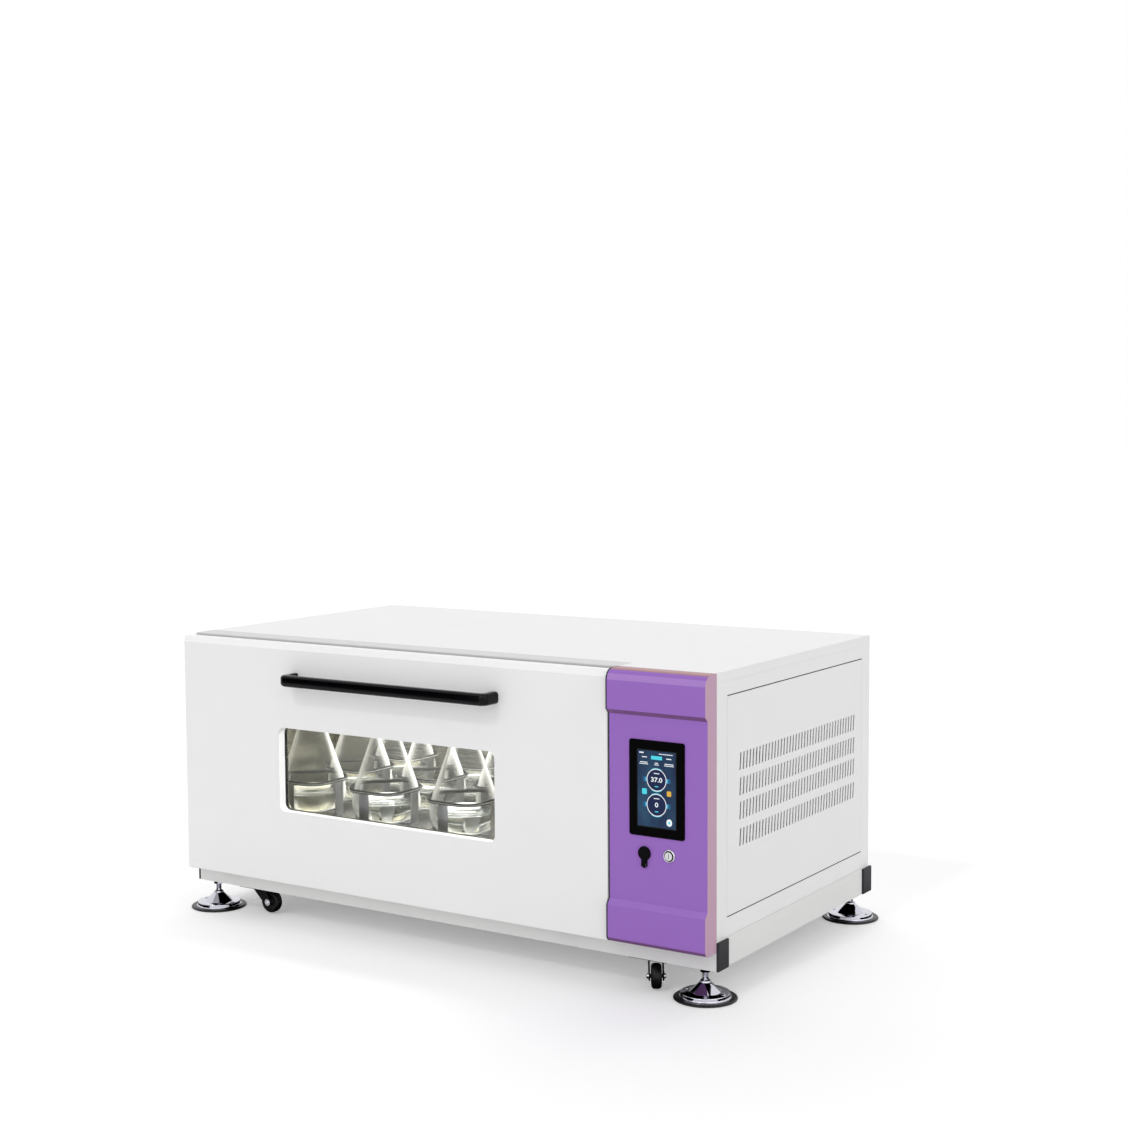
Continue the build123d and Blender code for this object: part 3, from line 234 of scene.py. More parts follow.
def finish(
    name,
    colour,
    roughness,
    spread=0.06,
    variation=0.03,
    grain=900.0,
    depth=0.00002,
    stretch=(1.0, 1.0, 1.0),
    edge=0.0,
    **sockets,
):
    """A surface whose colour, gloss and relief vary a little with noise fixed to the part."""
    material = bpy.data.materials.new(name)
    material.use_nodes = True
    tree = material.node_tree
    surface = tree.nodes["Principled BSDF"]
    surface.inputs["Base Color"].default_value = colour
    surface.inputs["Roughness"].default_value = roughness
    for socket, value in sockets.items():
        surface.inputs[socket.replace("_", " ")].default_value = value
    place = new_node(tree, "ShaderNodeTexCoord")
    mapping = new_node(tree, "ShaderNodeMapping")
    mapping.inputs["Scale"].default_value = stretch
    tree.links.new(place.outputs["Object"], mapping.inputs["Vector"])
    fine = noise(tree, mapping.outputs["Vector"], grain)
    if variation:
        broad = noise(tree, place.outputs["Object"], 7.0, 2.0)
        share = spread_map(tree, broad, 0.0, 1.0)
        shades = mixed(tree, share, shade(colour, 1 - variation), shade(colour, 1 + variation))
        tree.links.new(shades, surface.inputs["Base Color"])
    if spread:
        gloss = spread_map(tree, fine, max(0.0, roughness - spread), roughness + spread)
        tree.links.new(gloss, surface.inputs["Roughness"])
    if depth:
        bump = new_node(tree, "ShaderNodeBump")
        bump.inputs["Distance"].default_value = depth
        tree.links.new(fine, bump.inputs["Height"])
        tree.links.new(bump.outputs["Normal"], surface.inputs["Normal"])
        if edge:
            soft_edge = new_node(tree, "ShaderNodeBevel", samples=4)
            soft_edge.inputs["Radius"].default_value = edge
            tree.links.new(soft_edge.outputs["Normal"], bump.inputs["Normal"])
    return material


def paint(name, colour, **changes):
    """Powder coat: fine orange peel, soft gloss, slightly rounded edges."""
    values = {
        "roughness": 0.5,
        "grain": 650.0,
        "depth": 0.00003,
        "variation": 0.006,
        "edge": 0.0012,
        "Specular_IOR_Level": 0.06,
    }
    return finish(name, colour, **(values | changes))


def steel(name, colour, **changes):
    """Brushed sheet: grain drawn out along X."""
    values = {
        "roughness": 0.30,
        "spread": 0.08,
        "grain": 500.0,
        "stretch": (0.02, 1.0, 1.0),
        "depth": 0.00002,
        "edge": 0.0008,
        "Metallic": 1.0,
    }
    return finish(name, colour, **(values | changes))


def turned_chrome():
    """Chrome on a turned dish: its fine rings stretch each highlight into a sector."""
    material = finish(
        "foot_chrome", srgb(206, 206, 216), 0.07, spread=0.02, variation=0.01, depth=0.00001,
        Metallic=1.0, Anisotropic=0.4,
    )
    tree = material.node_tree
    tangent = new_node(tree, "ShaderNodeTangent", direction_type="RADIAL", axis="Z")
    tree.links.new(tangent.outputs["Tangent"], tree.nodes["Principled BSDF"].inputs["Tangent"])
    return material


def object_axes(tree):
    """The coordinates of the part's own space, one by one."""
    place = new_node(tree, "ShaderNodeTexCoord")
    axes = new_node(tree, "ShaderNodeSeparateXYZ")
    tree.links.new(place.outputs["Object"], axes.inputs["Vector"])
    return axes.outputs


def maths(tree, operation, first, second=0.0):
    """A sum on one value with a number or another value."""
    node = new_node(tree, "ShaderNodeMath", operation=operation)
    tree.links.new(first, node.inputs[0])
    if isinstance(second, float):
        node.inputs[1].default_value = second
    else:
        tree.links.new(second, node.inputs[1])
    return node.outputs["Value"]


def within(tree, value, low, high):
    """1 where a value lies between two limits, and 0 elsewhere."""
    compare = new_node(tree, "ShaderNodeMath", operation="COMPARE")
    compare.inputs[1].default_value = (low + high) / 2
    compare.inputs[2].default_value = (high - low) / 2
    tree.links.new(value, compare.inputs[0])
    return compare.outputs["Value"]


def overpaint(material, factor, colour):
    """Another colour on the part of a surface where the factor is 1."""
    tree = material.node_tree
    base = tree.nodes["Principled BSDF"].inputs["Base Color"]
    tree.links.new(mixed(tree, factor, base.links[0].from_socket, colour), base)


def violet_panel():
    """Violet gloss paint with painted light, as in the photograph: a paler, pinker painted sheen on
    the end cheeks, a painted reflection on top, painted shade on faces looking down, a painted
    highlight stripe under the top edge and painted light on the lower ledge's upward slopes.
    """
    material = paint("panel_violet", VIOLET, roughness=0.34, Coat_Weight=0.15, Coat_Roughness=0.25)
    tree = material.node_tree
    geometry = new_node(tree, "ShaderNodeNewGeometry")
    facing = new_node(tree, "ShaderNodeSeparateXYZ")
    tree.links.new(geometry.outputs["True Normal"], facing.inputs["Vector"])
    sideways, upwards = facing.outputs["X"], facing.outputs["Z"]
    height = object_axes(tree)["Z"]
    low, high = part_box("control_panel")
    # Painted light by which way a face looks: shade below, a highlight stripe, light on the lower
    # ledge, a sheen on the end faces and a reflection on top
    slope = within(tree, upwards, 0.2, 0.92)
    lower_half = within(tree, height, low.z, (low.z + high.z) / 2)
    for factor, colour in (
        (maths(tree, "LESS_THAN", upwards, -0.3), UNDERSIDE_SHADE),
        (within(tree, height, high.z - HIGHLIGHT_DROP[0], high.z - HIGHLIGHT_DROP[1]), TOP_EDGE_HIGHLIGHT),
        (maths(tree, "MULTIPLY", slope, lower_half), LEDGE_LIGHT),
        (maths(tree, "GREATER_THAN", maths(tree, "ABSOLUTE", sideways), 0.7), END_FACE_SHEEN),
        (maths(tree, "GREATER_THAN", upwards, 0.92), TOP_REFLECTION),
    ):
        overpaint(material, factor, colour)
    return material


def highlighted_spring_wire():
    """Blackened spring wire with a painted highlight: a bright band where the ring stands out
    furthest.
    """
    material = finish(
        "spring_wire", srgb(8, 8, 8), 0.40, depth=0.00002, grain=700.0, Specular_IOR_Level=0.15
    )
    tree = material.node_tree
    axes = object_axes(tree)
    flat = new_node(tree, "ShaderNodeCombineXYZ")
    for axis in ("X", "Y"):
        tree.links.new(axes[axis], flat.inputs[axis])
    reach = new_node(tree, "ShaderNodeVectorMath", operation="LENGTH")
    tree.links.new(flat.outputs["Vector"], reach.inputs[0])
    # Painted highlight along the ring's outer crest
    highlight_ring = within(tree, reach.outputs["Value"], SPRING_RADIUS + 0.90 * COIL_RADIUS, 1.0)
    overpaint(material, highlight_ring, srgb(236, 236, 230))
    return material


def banded_paint_light(name, colour, axis, low, high, band_colour, end=None):
    """Powder coat with a painted band of another colour along an axis, up to an end in X: a painted
    highlight on the door and painted shade on the roof.
    """
    material = paint(name, colour)
    tree = material.node_tree
    axes = object_axes(tree)
    band = within(tree, axes[axis], low, high)
    if end is not None:
        band = maths(tree, "MULTIPLY", band, within(tree, axes["X"], -1.0, end))
    overpaint(material, band, band_colour)
    return material


def blown_glass():
    """Thin glass: clear where it is seen straight on, and an opaque white towards its outline, a
    painted reflection.
    """
    material = finish(
        "flask_glass", srgb(250, 250, 244), 0.04, spread=0.02, variation=0.0, grain=40.0, depth=0.0
    )
    tree = material.node_tree
    facing = new_node(tree, "ShaderNodeLayerWeight")
    # Painted reflection: opaque white rises towards the outline
    rim_white_reflection = new_node(tree, "ShaderNodeMapRange", interpolation_type="SMOOTHSTEP")
    rim_white_reflection.inputs["From Min"].default_value = 0.24
    rim_white_reflection.inputs["From Max"].default_value = 0.86
    rim_white_reflection.inputs["To Min"].default_value = 0.05
    rim_white_reflection.inputs["To Max"].default_value = 0.96
    tree.links.new(facing.outputs["Facing"], rim_white_reflection.inputs["Value"])
    tree.links.new(rim_white_reflection.outputs["Result"], tree.nodes["Principled BSDF"].inputs["Alpha"])
    return material


def glowing(name, colour, strength, second=None):
    """A lit field of the display. A second colour is mixed in, in broad patches of noise."""
    material = finish(
        name, srgb(4, 5, 8), 0.12, depth=0.0, Specular_IOR_Level=0.03, Emission_Strength=strength
    )
    tree = material.node_tree
    surface = tree.nodes["Principled BSDF"]
    surface.inputs["Emission Color"].default_value = colour
    if second:
        place = new_node(tree, "ShaderNodeTexCoord")
        cells = noise(tree, place.outputs["Generated"], 2.2, 2.0)
        field = mixed(tree, spread_map(tree, cells, 0.0, 1.0), colour, second)
        tree.links.new(field, surface.inputs["Emission Color"])
    return material


VIOLET = srgb(153, 108, 193)
# Painted light on the violet panel: sheen on the end faces, reflection on top, shade under,
# highlight stripe, light on the lower ledge
END_FACE_SHEEN = srgb(196, 160, 182)
TOP_REFLECTION = srgb(172, 127, 130)
UNDERSIDE_SHADE = srgb(122, 84, 132)
TOP_EDGE_HIGHLIGHT = srgb(170, 130, 203)
LEDGE_LIGHT = srgb(160, 117, 200)

door_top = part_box("door_shell")[1].z
roof_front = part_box("roof_cover")[0].y
looks = {
    "white_paint": paint("white_paint", srgb(239, 239, 239)),
    # Painted highlight: a lighter band down from the door's top edge
    "door_paint": banded_paint_light(
        "door_paint", srgb(240, 240, 240), "Z", door_top - DOOR_HIGHLIGHT_DROP, door_top + 1.0,
        srgb(249, 249, 249),
    ),
    # Painted shade: a darker band along the roof's front, up to the control panel, where the door's
    # top lies in shade
    "roof_paint": banded_paint_light(
        "roof_paint", srgb(240, 240, 240), "Y", roof_front - 1.0, roof_front + ROOF_SHADE_DEPTH,
        srgb(217, 217, 217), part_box("control_panel")[0].x,
    ),
    "side_paint": paint("side_paint", srgb(240, 240, 240)),
    "base_paint": paint("base_paint", srgb(232, 232, 231)),
    "bumper_plastic": finish(
        "bumper_plastic", srgb(48, 48, 52), 0.5, depth=0.0001, edge=0.0008, Specular_IOR_Level=0.2
    ),
    "chamber_steel": steel("chamber_steel", srgb(190, 187, 173), roughness=0.24),
    "platform_steel": steel("platform_steel", srgb(178, 178, 176), roughness=0.22),
    "spring_wire": highlighted_spring_wire(),
    "flask_glass": blown_glass(),
    "window_glass": finish(
        "window_glass", srgb(120, 124, 112), 0.03, spread=0.01, variation=0.0, grain=30.0,
        Alpha=0.05,
    ),
    "seal_rubber": finish(
        "seal_rubber", srgb(34, 34, 35), 0.62, depth=0.0001, Specular_IOR_Level=0.2
    ),
    "handle_gloss": finish(
        "handle_gloss", srgb(4, 4, 6), 0.14, spread=0.03, depth=0.00001, grain=300.0,
        Specular_IOR_Level=0.16,
    ),
    "panel_violet": violet_panel(),
    "screen_black": finish(
        "screen_black", srgb(1, 1, 2), 0.08, spread=0.02, depth=0.0, Specular_IOR_Level=0.03
    ),
    "display": finish("display", srgb(20, 30, 48), 0.3),
    "lock_chrome": finish(
        "lock_chrome", srgb(212, 212, 214), 0.14, spread=0.05, edge=0.0006, Metallic=1.0
    ),
    "port_black": finish(
        "port_black", srgb(5, 5, 8), 0.42, depth=0.00006, Specular_IOR_Level=0.05
    ),
    "port_plastic": finish("port_plastic", srgb(26, 26, 27), 0.45),
    "drive_cast": finish(
        "drive_cast", srgb(176, 177, 180), 0.5, grain=380.0, depth=0.0003, edge=0.001, Metallic=1.0
    ),
    "drive_shaft_steel": steel("drive_shaft_steel", srgb(180, 180, 184), stretch=(1.0, 1.0, 0.05)),
    "motor_case": finish("motor_case", srgb(58, 58, 62), 0.42, depth=0.0001, edge=0.001),
    "belt_rubber": finish("belt_rubber", srgb(24, 24, 25), 0.7, depth=0.0002),
    "fan_plastic": finish("fan_plastic", srgb(30, 30, 32), 0.45, edge=0.0006),
    "coil_aluminium": finish(
        "coil_aluminium", srgb(190, 192, 196), 0.4, stretch=(1.0, 1.0, 14.0), depth=0.0003,
        Metallic=1.0,
    ),
    "compressor_paint": paint("compressor_paint", srgb(22, 22, 24), roughness=0.3),
    "inlet_plastic": finish("inlet_plastic", srgb(22, 22, 23), 0.42, depth=0.00006),
    "rocker_plastic": finish("rocker_plastic", srgb(150, 22, 20), 0.25, edge=0.0006),
    "foot_chrome": turned_chrome(),
    "caster_black": finish(
        "caster_black", srgb(4, 4, 5), 0.34, depth=0.00006, edge=0.0008, Specular_IOR_Level=0.12
    ),
    "wheel_black": finish(
        "wheel_black", srgb(11, 11, 13), 0.42, depth=0.00006, Specular_IOR_Level=0.22
    ),
}
liquid_look = finish(
    "liquid_clear", srgb(246, 249, 246), 0.0, spread=0.0, variation=0.0,
    Transmission_Weight=1.0, IOR=1.33,
)
zinc_look = finish("bolt_zinc", srgb(214, 215, 220), 0.28, depth=0.00002, Metallic=1.0)
strap_look = steel("clamp_steel", srgb(176, 176, 180), roughness=0.34, stretch=(1.0, 1.0, 0.03))
pad_look = finish(
    "foot_rubber", srgb(12, 12, 14), 0.30, depth=0.00004, grain=500.0, Specular_IOR_Level=0.35
)
groove_look = finish("groove_black", srgb(8, 8, 9), 0.6, depth=0.00002, Specular_IOR_Level=0.1)
# Painted shade: the dark strip at the control panel's left end stands in for the shadow in the gap
# beside the door
end_shade_look = finish("gap_painted_shade", srgb(58, 57, 60), 0.6, depth=0.00006, Specular_IOR_Level=0.1)

OWN_LOOKS = {"door_shell": "door_paint", "roof_cover": "roof_paint"}
for row in frame["record"]["subparts"]:
    mesh = nodes[row["node"]].data
    mesh.materials.clear()
    mesh.materials.append(looks[OWN_LOOKS.get(row["node"], row["material_slot"])])


# Pieces


def piece(name, shape, material, body, sharp=38.0):
    """A mesh object that rides on a CAD body. A shape is a pair of vertices and faces."""
    vertices, faces = shape
    mesh = bpy.data.meshes.new(name)
    mesh.from_pydata([tuple(point) for point in vertices], [], faces)
    work = bmesh.new()
    work.from_mesh(mesh)
    bmesh.ops.remove_doubles(work, verts=work.verts, dist=1e-7)
    bmesh.ops.recalc_face_normals(work, faces=work.faces)
    work.to_mesh(mesh)
    work.free()
    mesh.polygons.foreach_set("use_smooth", [True] * len(mesh.polygons))
    mesh.set_sharp_from_angle(angle=math.radians(sharp))
    mesh.materials.append(material)
    thing = bpy.data.objects.new(name, mesh)
    scene.collection.objects.link(thing)
    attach(thing, body)
    return thing


def copy_of(thing, name, shift, body):
    """The same mesh again, shifted, on its own body."""
    twin = bpy.data.objects.new(name, thing.data)
    twin.location = shift
    scene.collection.objects.link(twin)
    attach(twin, body)
    return twin


def merged(shapes):
    """Several shapes as one."""
    vertices, faces = [], []
    for points, polygons in shapes:
        start = len(vertices)
        vertices.extend(points)
        faces.extend([tuple(index + start for index in polygon) for polygon in polygons])
    return vertices, faces


def moved(shape, place=(0, 0, 0), axis=(0, 0, 1)):
    """A shape made about Z, turned to an axis and moved to a place."""
    turn = Vector((0, 0, 1)).rotation_difference(Vector(axis)).to_matrix()
    vertices = [turn @ Vector(point) + Vector(place) for point in shape[0]]
    return vertices, shape[1]


def lathe(profile, sides=48):
    """A profile of (radius, height) points turned about Z."""
    vertices, faces, rings = [], [], []
    for radius, height in profile:
        if radius < 1e-6:
            rings.append([len(vertices)])
            vertices.append((0.0, 0.0, height))
            continue
        rings.append(list(range(len(vertices), len(vertices) + sides)))
        for step in range(sides):
            angle = 2 * math.pi * step / sides
            vertices.append((radius * math.cos(angle), radius * math.sin(angle), height))
    for low, high in zip(rings, rings[1:]):
        for step in range(sides):
            after = (step + 1) % sides
            if len(low) == 1:
                faces.append((low[0], high[step], high[after]))
            elif len(high) == 1:
                faces.append((low[step], low[after], high[0]))
            else:
                faces.append((low[step], low[after], high[after], high[step]))
    return vertices, faces


def rounded(points, radius, steps=5):
    """A profile with each inner corner rounded by up to that radius."""
    result = [points[0]]
    for before, corner, after in zip(points, points[1:], points[2:]):
        here = Vector(corner)
        back, ahead = Vector(before) - here, Vector(after) - here
        reach = min(radius, back.length * 0.45, ahead.length * 0.45)
        start, end = here + back.normalized() * reach, here + ahead.normalized() * reach
        for step in range(steps + 1):
            share = step / steps
            bend = start.lerp(here, share).lerp(here.lerp(end, share), share)
            result.append(tuple(bend))
    result.append(points[-1])
    return result


def loft(rings, looped=False):
    """Rings of as many points each, joined in turn: a closed loop, or a bar with two ends."""
    count = len(rings[0])
    vertices = [point for ring in rings for point in ring]
    faces = []
    for station in range(len(rings) if looped else len(rings) - 1):
        here = station * count
        there = (station + 1) % len(rings) * count
        for side in range(count):
            after = (side + 1) % count
            faces.append((here + side, here + after, there + after, there + side))
    if not looped:
        faces.append(tuple(range(count)))
        faces.append(tuple(range(len(vertices) - count, len(vertices))))
    return vertices, faces


def strip(low, high):
    """A straight bar between two corners."""
    corners = ((low[0], low[2]), (high[0], low[2]), (high[0], high[2]), (low[0], high[2]))
    return loft([[(x, y, z) for x, z in corners] for y in (low[1], high[1])])


def hexagon(across, height, bevel):
    """A nut with its flats that far apart and its corners turned off."""
    flat = across / 2
    corner = across / math.sqrt(3)
    outside = [(flat, 0), (corner, bevel), (corner, height - bevel), (flat, height)]
    return lathe([(0, 0)] + outside + [(0, height)], 6)


def screw_head(radius, rim, crown, top, seat=(), corner=0.0006, sides=20):
    """A domed head from its seat up, with its rim and then its crown rounded off."""
    profile = [*seat, (radius, 0), (radius, rim), (crown, top - CROWN_RISE), (0, top)]
    return lathe(rounded(profile, corner, 3) if corner else profile, sides)


# Flasks with their filling, spring ring and clamp
flask_low, flask_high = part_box("flasks")
flask_first = Vector((flask_low.x + FLASK_RADIUS, flask_low.y + FLASK_RADIUS, flask_low.z))
FLASK_TALL = flask_high.z - flask_low.z
FLASK_OUTLINE = (
    (0.0, 0.004),
    (0.030, 0.0015),
    (0.058, 0.0),
    (0.0768, 0.030),
    (0.0715, 0.070),
    (0.0262, 0.200),
    (0.0240, 0.218),
    (0.0240, FLASK_TALL - 0.008),
    (0.0278, FLASK_TALL - 0.005),
    (0.0265, FLASK_TALL),
)


def flask_body():
    """Conical flask with a rolled lip: soft bends where the wall turns."""
    body = rounded(FLASK_OUTLINE[:6], 0.026, 8)
    neck = rounded(FLASK_OUTLINE[5:], 0.012, 5)
    return lathe(body[:-1] + neck, 64)


def filling():
    """The liquid: the flask's inside up to its level, a little into the glass so no air shows."""
    inset = 0.6 * GLASS_WALL
    wall = rounded(FLASK_OUTLINE[:6], 0.026, 8)
    wet = [(radius, height) for radius, height in wall if height < LIQUID_LEVEL]
    inside = [(max(0.0, radius - inset), height + inset) for radius, height in wet]
    rim = inside[-1][0]
    surface = [
        (rim, LIQUID_LEVEL),
        (rim - 0.002, LIQUID_LEVEL - 0.0008),
        (0.0, LIQUID_LEVEL - 0.001),
    ]
    return lathe(inside + surface, 64)


def coil_ring():
    """A close-wound spring bent into a closed ring: a rib for each turn."""
    stations, sides = 2 * COIL_TURNS, 12
    angles = [2 * math.pi * side / sides for side in range(sides)]
    upward = Vector((0, 0, 1))
    rings = []
    for step in range(stations):
        turn = 2 * math.pi * step / stations
        outward = Vector((math.cos(turn), math.sin(turn), 0))
        centre = outward * SPRING_RADIUS + upward * (COIL_WAVE * math.cos(4 * turn))
        radius = COIL_RADIUS - COIL_DENT * (step % 2)
        ways = [outward * math.cos(angle) + upward * math.sin(angle) for angle in angles]
        rings.append([centre + way * radius for way in ways])
    return loft(rings, looped=True)


def clamp_shape():
    """A cross of sheet with four straps that follow the flask's wall, each flared on top."""
    inside = FLASK_RADIUS + STRAP_GAP
    half_turn = STRAP_WIDTH / 2 / inside
    rows = [
        (-STRAP_SHEET, 0.0),
        (0.006, 0.0),
        (STRAP_HEIGHT - 0.010, 0.0),
        (STRAP_HEIGHT - 0.004, -0.0012),
        (STRAP_HEIGHT - STRAP_SHEET, 0.0006),
    ]
    columns = 8
    shapes = []
    for quarter in range(4):
        vertices, faces = [], []
        for outer in (0.0, STRAP_SHEET):
            for height, flare in rows:
                for column in range(columns + 1):
                    angle = math.pi / 2 * quarter + half_turn * (2 * column / columns - 1)
                    radius = inside + outer + flare
                    vertices.append((radius * math.cos(angle), radius * math.sin(angle), height))
        across, layer = columns + 1, (columns + 1) * len(rows)
        for row in range(len(rows) - 1):
            for column in range(columns):
                here = row * across + column
                quad = (here, here + 1, here + across + 1, here + across)
                faces += [quad, tuple(index + layer for index in quad)]
            for edge in (row * across, row * across + columns):
                faces.append((edge, edge + across, edge + across + layer, edge + layer))
        for column in range(columns):
            for start in (column, (len(rows) - 1) * across + column):
                faces.append((start, start + 1, start + 1 + layer, start + layer))
        shapes.append((vertices, faces))
    for first, second in ((inside, STRAP_WIDTH / 2), (STRAP_WIDTH / 2, inside)):
        shapes.append(strip((-first, -second, -STRAP_SHEET), (first, second, 0.0)))
    return merged(shapes)


flask_places = [
    flask_first + Vector((column * FLASK_PITCH[0], row * FLASK_PITCH[1], 0))
    for column in range(FLASK_COLUMNS)
    for row in range(FLASK_ROWS)
]
FLASK_SETS = (
    ("flask", "flasks", flask_body(), looks["flask_glass"], "flask_glass", 0.0),
    ("liquid", None, filling(), liquid_look, "flask_glass", 0.0),
    ("clamp_spring", "clamp_springs", coil_ring(), looks["spring_wire"], "spring_wire", SPRING_UP),
    ("clamp", "flask_clamps", clamp_shape(), strap_look, "platform_steel", 0.0),
)
for kind, replaced, shape, look, slot_name, lift in FLASK_SETS:
    first = None
    for count, place in enumerate(flask_places, 1):
        name = f"{kind}_{count}"
        shift = place + Vector((0, 0, lift))
        if first is None:
            thing = first = piece(name, shape, look, "platform")
            thing.location = shift
        else:
            thing = copy_of(first, name, shift, "platform")
        if replaced:
            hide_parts(replaced)


# Handle: a rounded bar with both arms bent back to the door
def handle_section(half_height):
    """The bar's section with its edges rounded: across in half widths, and up in metres."""
    half_bar = HANDLE_BAR / 2
    points = []
    for quarter, (across, up, radius) in enumerate(HANDLE_EDGES):
        for step in range(6):
            angle = math.pi / 2 * (quarter + step / 5)
            u = across * (half_bar - radius) + radius * math.cos(angle)
            v = up * (half_height - radius) + radius * math.sin(angle)
            points.append((u / half_bar, v))
    return points


def handle_shape():
    """Sections along the bar, from the door round both corners and back to the door."""
    low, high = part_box("door_handle")
    inner_radius = HANDLE_CORNER / 2
    outer = Vector((low.x + HANDLE_CORNER, low.y + HANDLE_CORNER))
    inner = Vector((low.x + HANDLE_ARM + inner_radius, low.y + HANDLE_BAR + inner_radius))
    stations = [(Vector((low.x, high.y)), Vector((low.x + HANDLE_ARM, high.y)))]
    for step in range(HANDLE_STEPS + 1):
        angle = math.pi + math.pi / 2 * step / HANDLE_STEPS
        way = Vector((math.cos(angle), math.sin(angle)))
        stations.append((outer + way * HANDLE_CORNER, inner + way * inner_radius))
    ends = low.x + high.x
    for outer, inner in reversed(stations[:]):
        stations.append((Vector((ends - outer.x, outer.y)), Vector((ends - inner.x, inner.y))))
    middle_z = (high.z + low.z) / 2
    points = handle_section((high.z - low.z) / 2)
    rings = []
    for outer, inner in stations:
        centre, half = (outer + inner) / 2, (outer - inner) / 2
        spots = [(centre + half * u, v) for u, v in points]
        rings.append([(spot.x, spot.y, middle_z + v) for spot, v in spots])
    return loft(rings)


look = looks["handle_gloss"]
handle = piece("handle_bar", handle_shape(), look, "door", sharp=50.0)
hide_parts("door_handle")


# Levelling feet
base_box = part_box("base_frame")
base_low = base_box[0].z


def foot_shapes():
    """Rubber pad, chrome dish, threaded stem and lock nut, each about Z from the floor."""
    pad = [
        (0, 0),
        (PAD_RADIUS - 0.002, 0),
        (PAD_RADIUS, 0.0012),
        (PAD_RADIUS, 0.0030),
        (PAD_RADIUS - 0.003, PAD_HEIGHT),
        (0, PAD_HEIGHT),
    ]
    collar_top = CONE_TOP + COLLAR_RISE
    dish = [
        (0, PAD_HEIGHT),
        (DISH_RADIUS + 0.003, PAD_HEIGHT),
        (DISH_RADIUS, PAD_HEIGHT + 0.0012),
        (DISH_RADIUS, DISH_TOP),
        (CONE_RADIUS[0], DISH_TOP + 0.0004),
        (CONE_RADIUS[1], CONE_TOP),
        (CONE_RADIUS[1], CONE_TOP + 0.0022),
        (COLLAR_RADIUS, collar_top),
        (STEM_RADIUS - 0.001, collar_top),
        (0, collar_top),
    ]
    root = STEM_RADIUS - THREAD_DEPTH
    height = CONE_TOP + THREAD_START
    stem = [(0, CONE_TOP), (STEM_RADIUS, CONE_TOP), (STEM_RADIUS, height)]
    while height < base_low - THREAD_PITCH:
        stem.append((STEM_RADIUS, height + 0.15 * THREAD_PITCH))
        stem.append((root, height + 0.55 * THREAD_PITCH))
        height += THREAD_PITCH
    stem += [(root, base_low + 0.02), (0, base_low + 0.02)]
    nut = hexagon(NUT_FLATS, NUT_HEIGHT, NUT_BEVEL)
    return {
        "pad": lathe(rounded(pad, 0.001, 3), 64),
        "dish": lathe(rounded(dish, 0.0014, 4), 64),
        "stem": lathe(stem, 32),
        "nut": moved(nut, (0, 0, base_low - NUT_HEIGHT - NUT_GAP)),
    }


foot_parts = foot_shapes()
dish_screw = screw_head(0.0045, 0.0008, 0.003, 0.002, corner=0)
for place in PLACES:
    body = f"foot_{place}"
    low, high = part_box(body)
    spot = ((low.x + high.x) / 2, (low.y + high.y) / 2, 0)
    for part, shape in foot_parts.items():
        look = pad_look if part == "pad" else looks["foot_chrome"]
        sharp = 30.0 if part == "nut" else 38.0
        made = piece(f"{body}_{part}", shape, look, body, sharp)
        made.location = spot
        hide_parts(body)
    screws = []
    for reach in (-DISH_SCREW_REACH, DISH_SCREW_REACH):
        screws.append(moved(dish_screw, (spot[0] + reach, spot[1], DISH_TOP)))
    piece(f"{body}_screws", merged(screws), looks["foot_chrome"], body)


# Dark flags round each foot and in front of the handle, seen by gloss alone
def flag(name, shape):
    """A black card that no camera and no lamp sees, for dark lines in the reflections."""
    vertices, faces = shape
    mesh = bpy.data.meshes.new(name)
    mesh.from_pydata([tuple(point) for point in vertices], [], faces)
    mesh.materials.append(flag_look)
    card = bpy.data.objects.new(name, mesh)
    for kind in ("camera", "diffuse", "transmission", "volume_scatter", "shadow"):
        setattr(card, f"visible_{kind}", False)
    scene.collection.objects.link(card)


def sector(spot, start, end):
    """A flat part of a ring on the floor, between two angles."""
    steps = 16
    vertices = []
    for step in range(steps + 1):
        angle = start + (end - start) * step / steps
        for reach in FLAG_REACH:
            x, y = spot.x + reach * math.cos(angle), spot.y + reach * math.sin(angle)
            vertices.append((x, y, FLAG_GAP))
    faces = [(2 * step, 2 * step + 1, 2 * step + 3, 2 * step + 2) for step in range(steps)]
    return vertices, faces


flag_look = finish("flag_black", (0.0, 0.0, 0.0, 1.0), 1.0, depth=0.0, Specular_IOR_Level=0.0)
for place in PLACES:
    low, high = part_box(f"foot_{place}")
    spot = (low + high) / 2
    ahead = math.atan2(CAMERA_PLACE.y - spot.y, CAMERA_PLACE.x - spot.x)
    for side in (-1, 1):
        start, end = (ahead + side * math.radians(angle) for angle in FLAG_ANGLES)
        flag(f"flag_{place}_{side + 1}", sector(spot, start, end))
    left, right = max(spot.x - FLAG_OVER, base_box[0].x), min(spot.x + FLAG_OVER, base_box[1].x)
    front, back = max(spot.y - FLAG_OVER, base_box[0].y), min(spot.y + FLAG_OVER, base_box[1].y)
    corners = ((left, front), (right, front), (right, back), (left, back))
    flag(f"flag_{place}_over", ([(x, y, base_low - FLAG_GAP) for x, y in corners], [(0, 1, 2, 3)]))
left, right = FRONT_FLAG_ENDS
corners = ((left, 0), (right, 0), (right, FRONT_FLAG_TOP), (left, FRONT_FLAG_TOP))
flag("flag_front", ([(x, FRONT_FLAG_PLACE, z) for x, z in corners], [(0, 1, 2, 3)]))


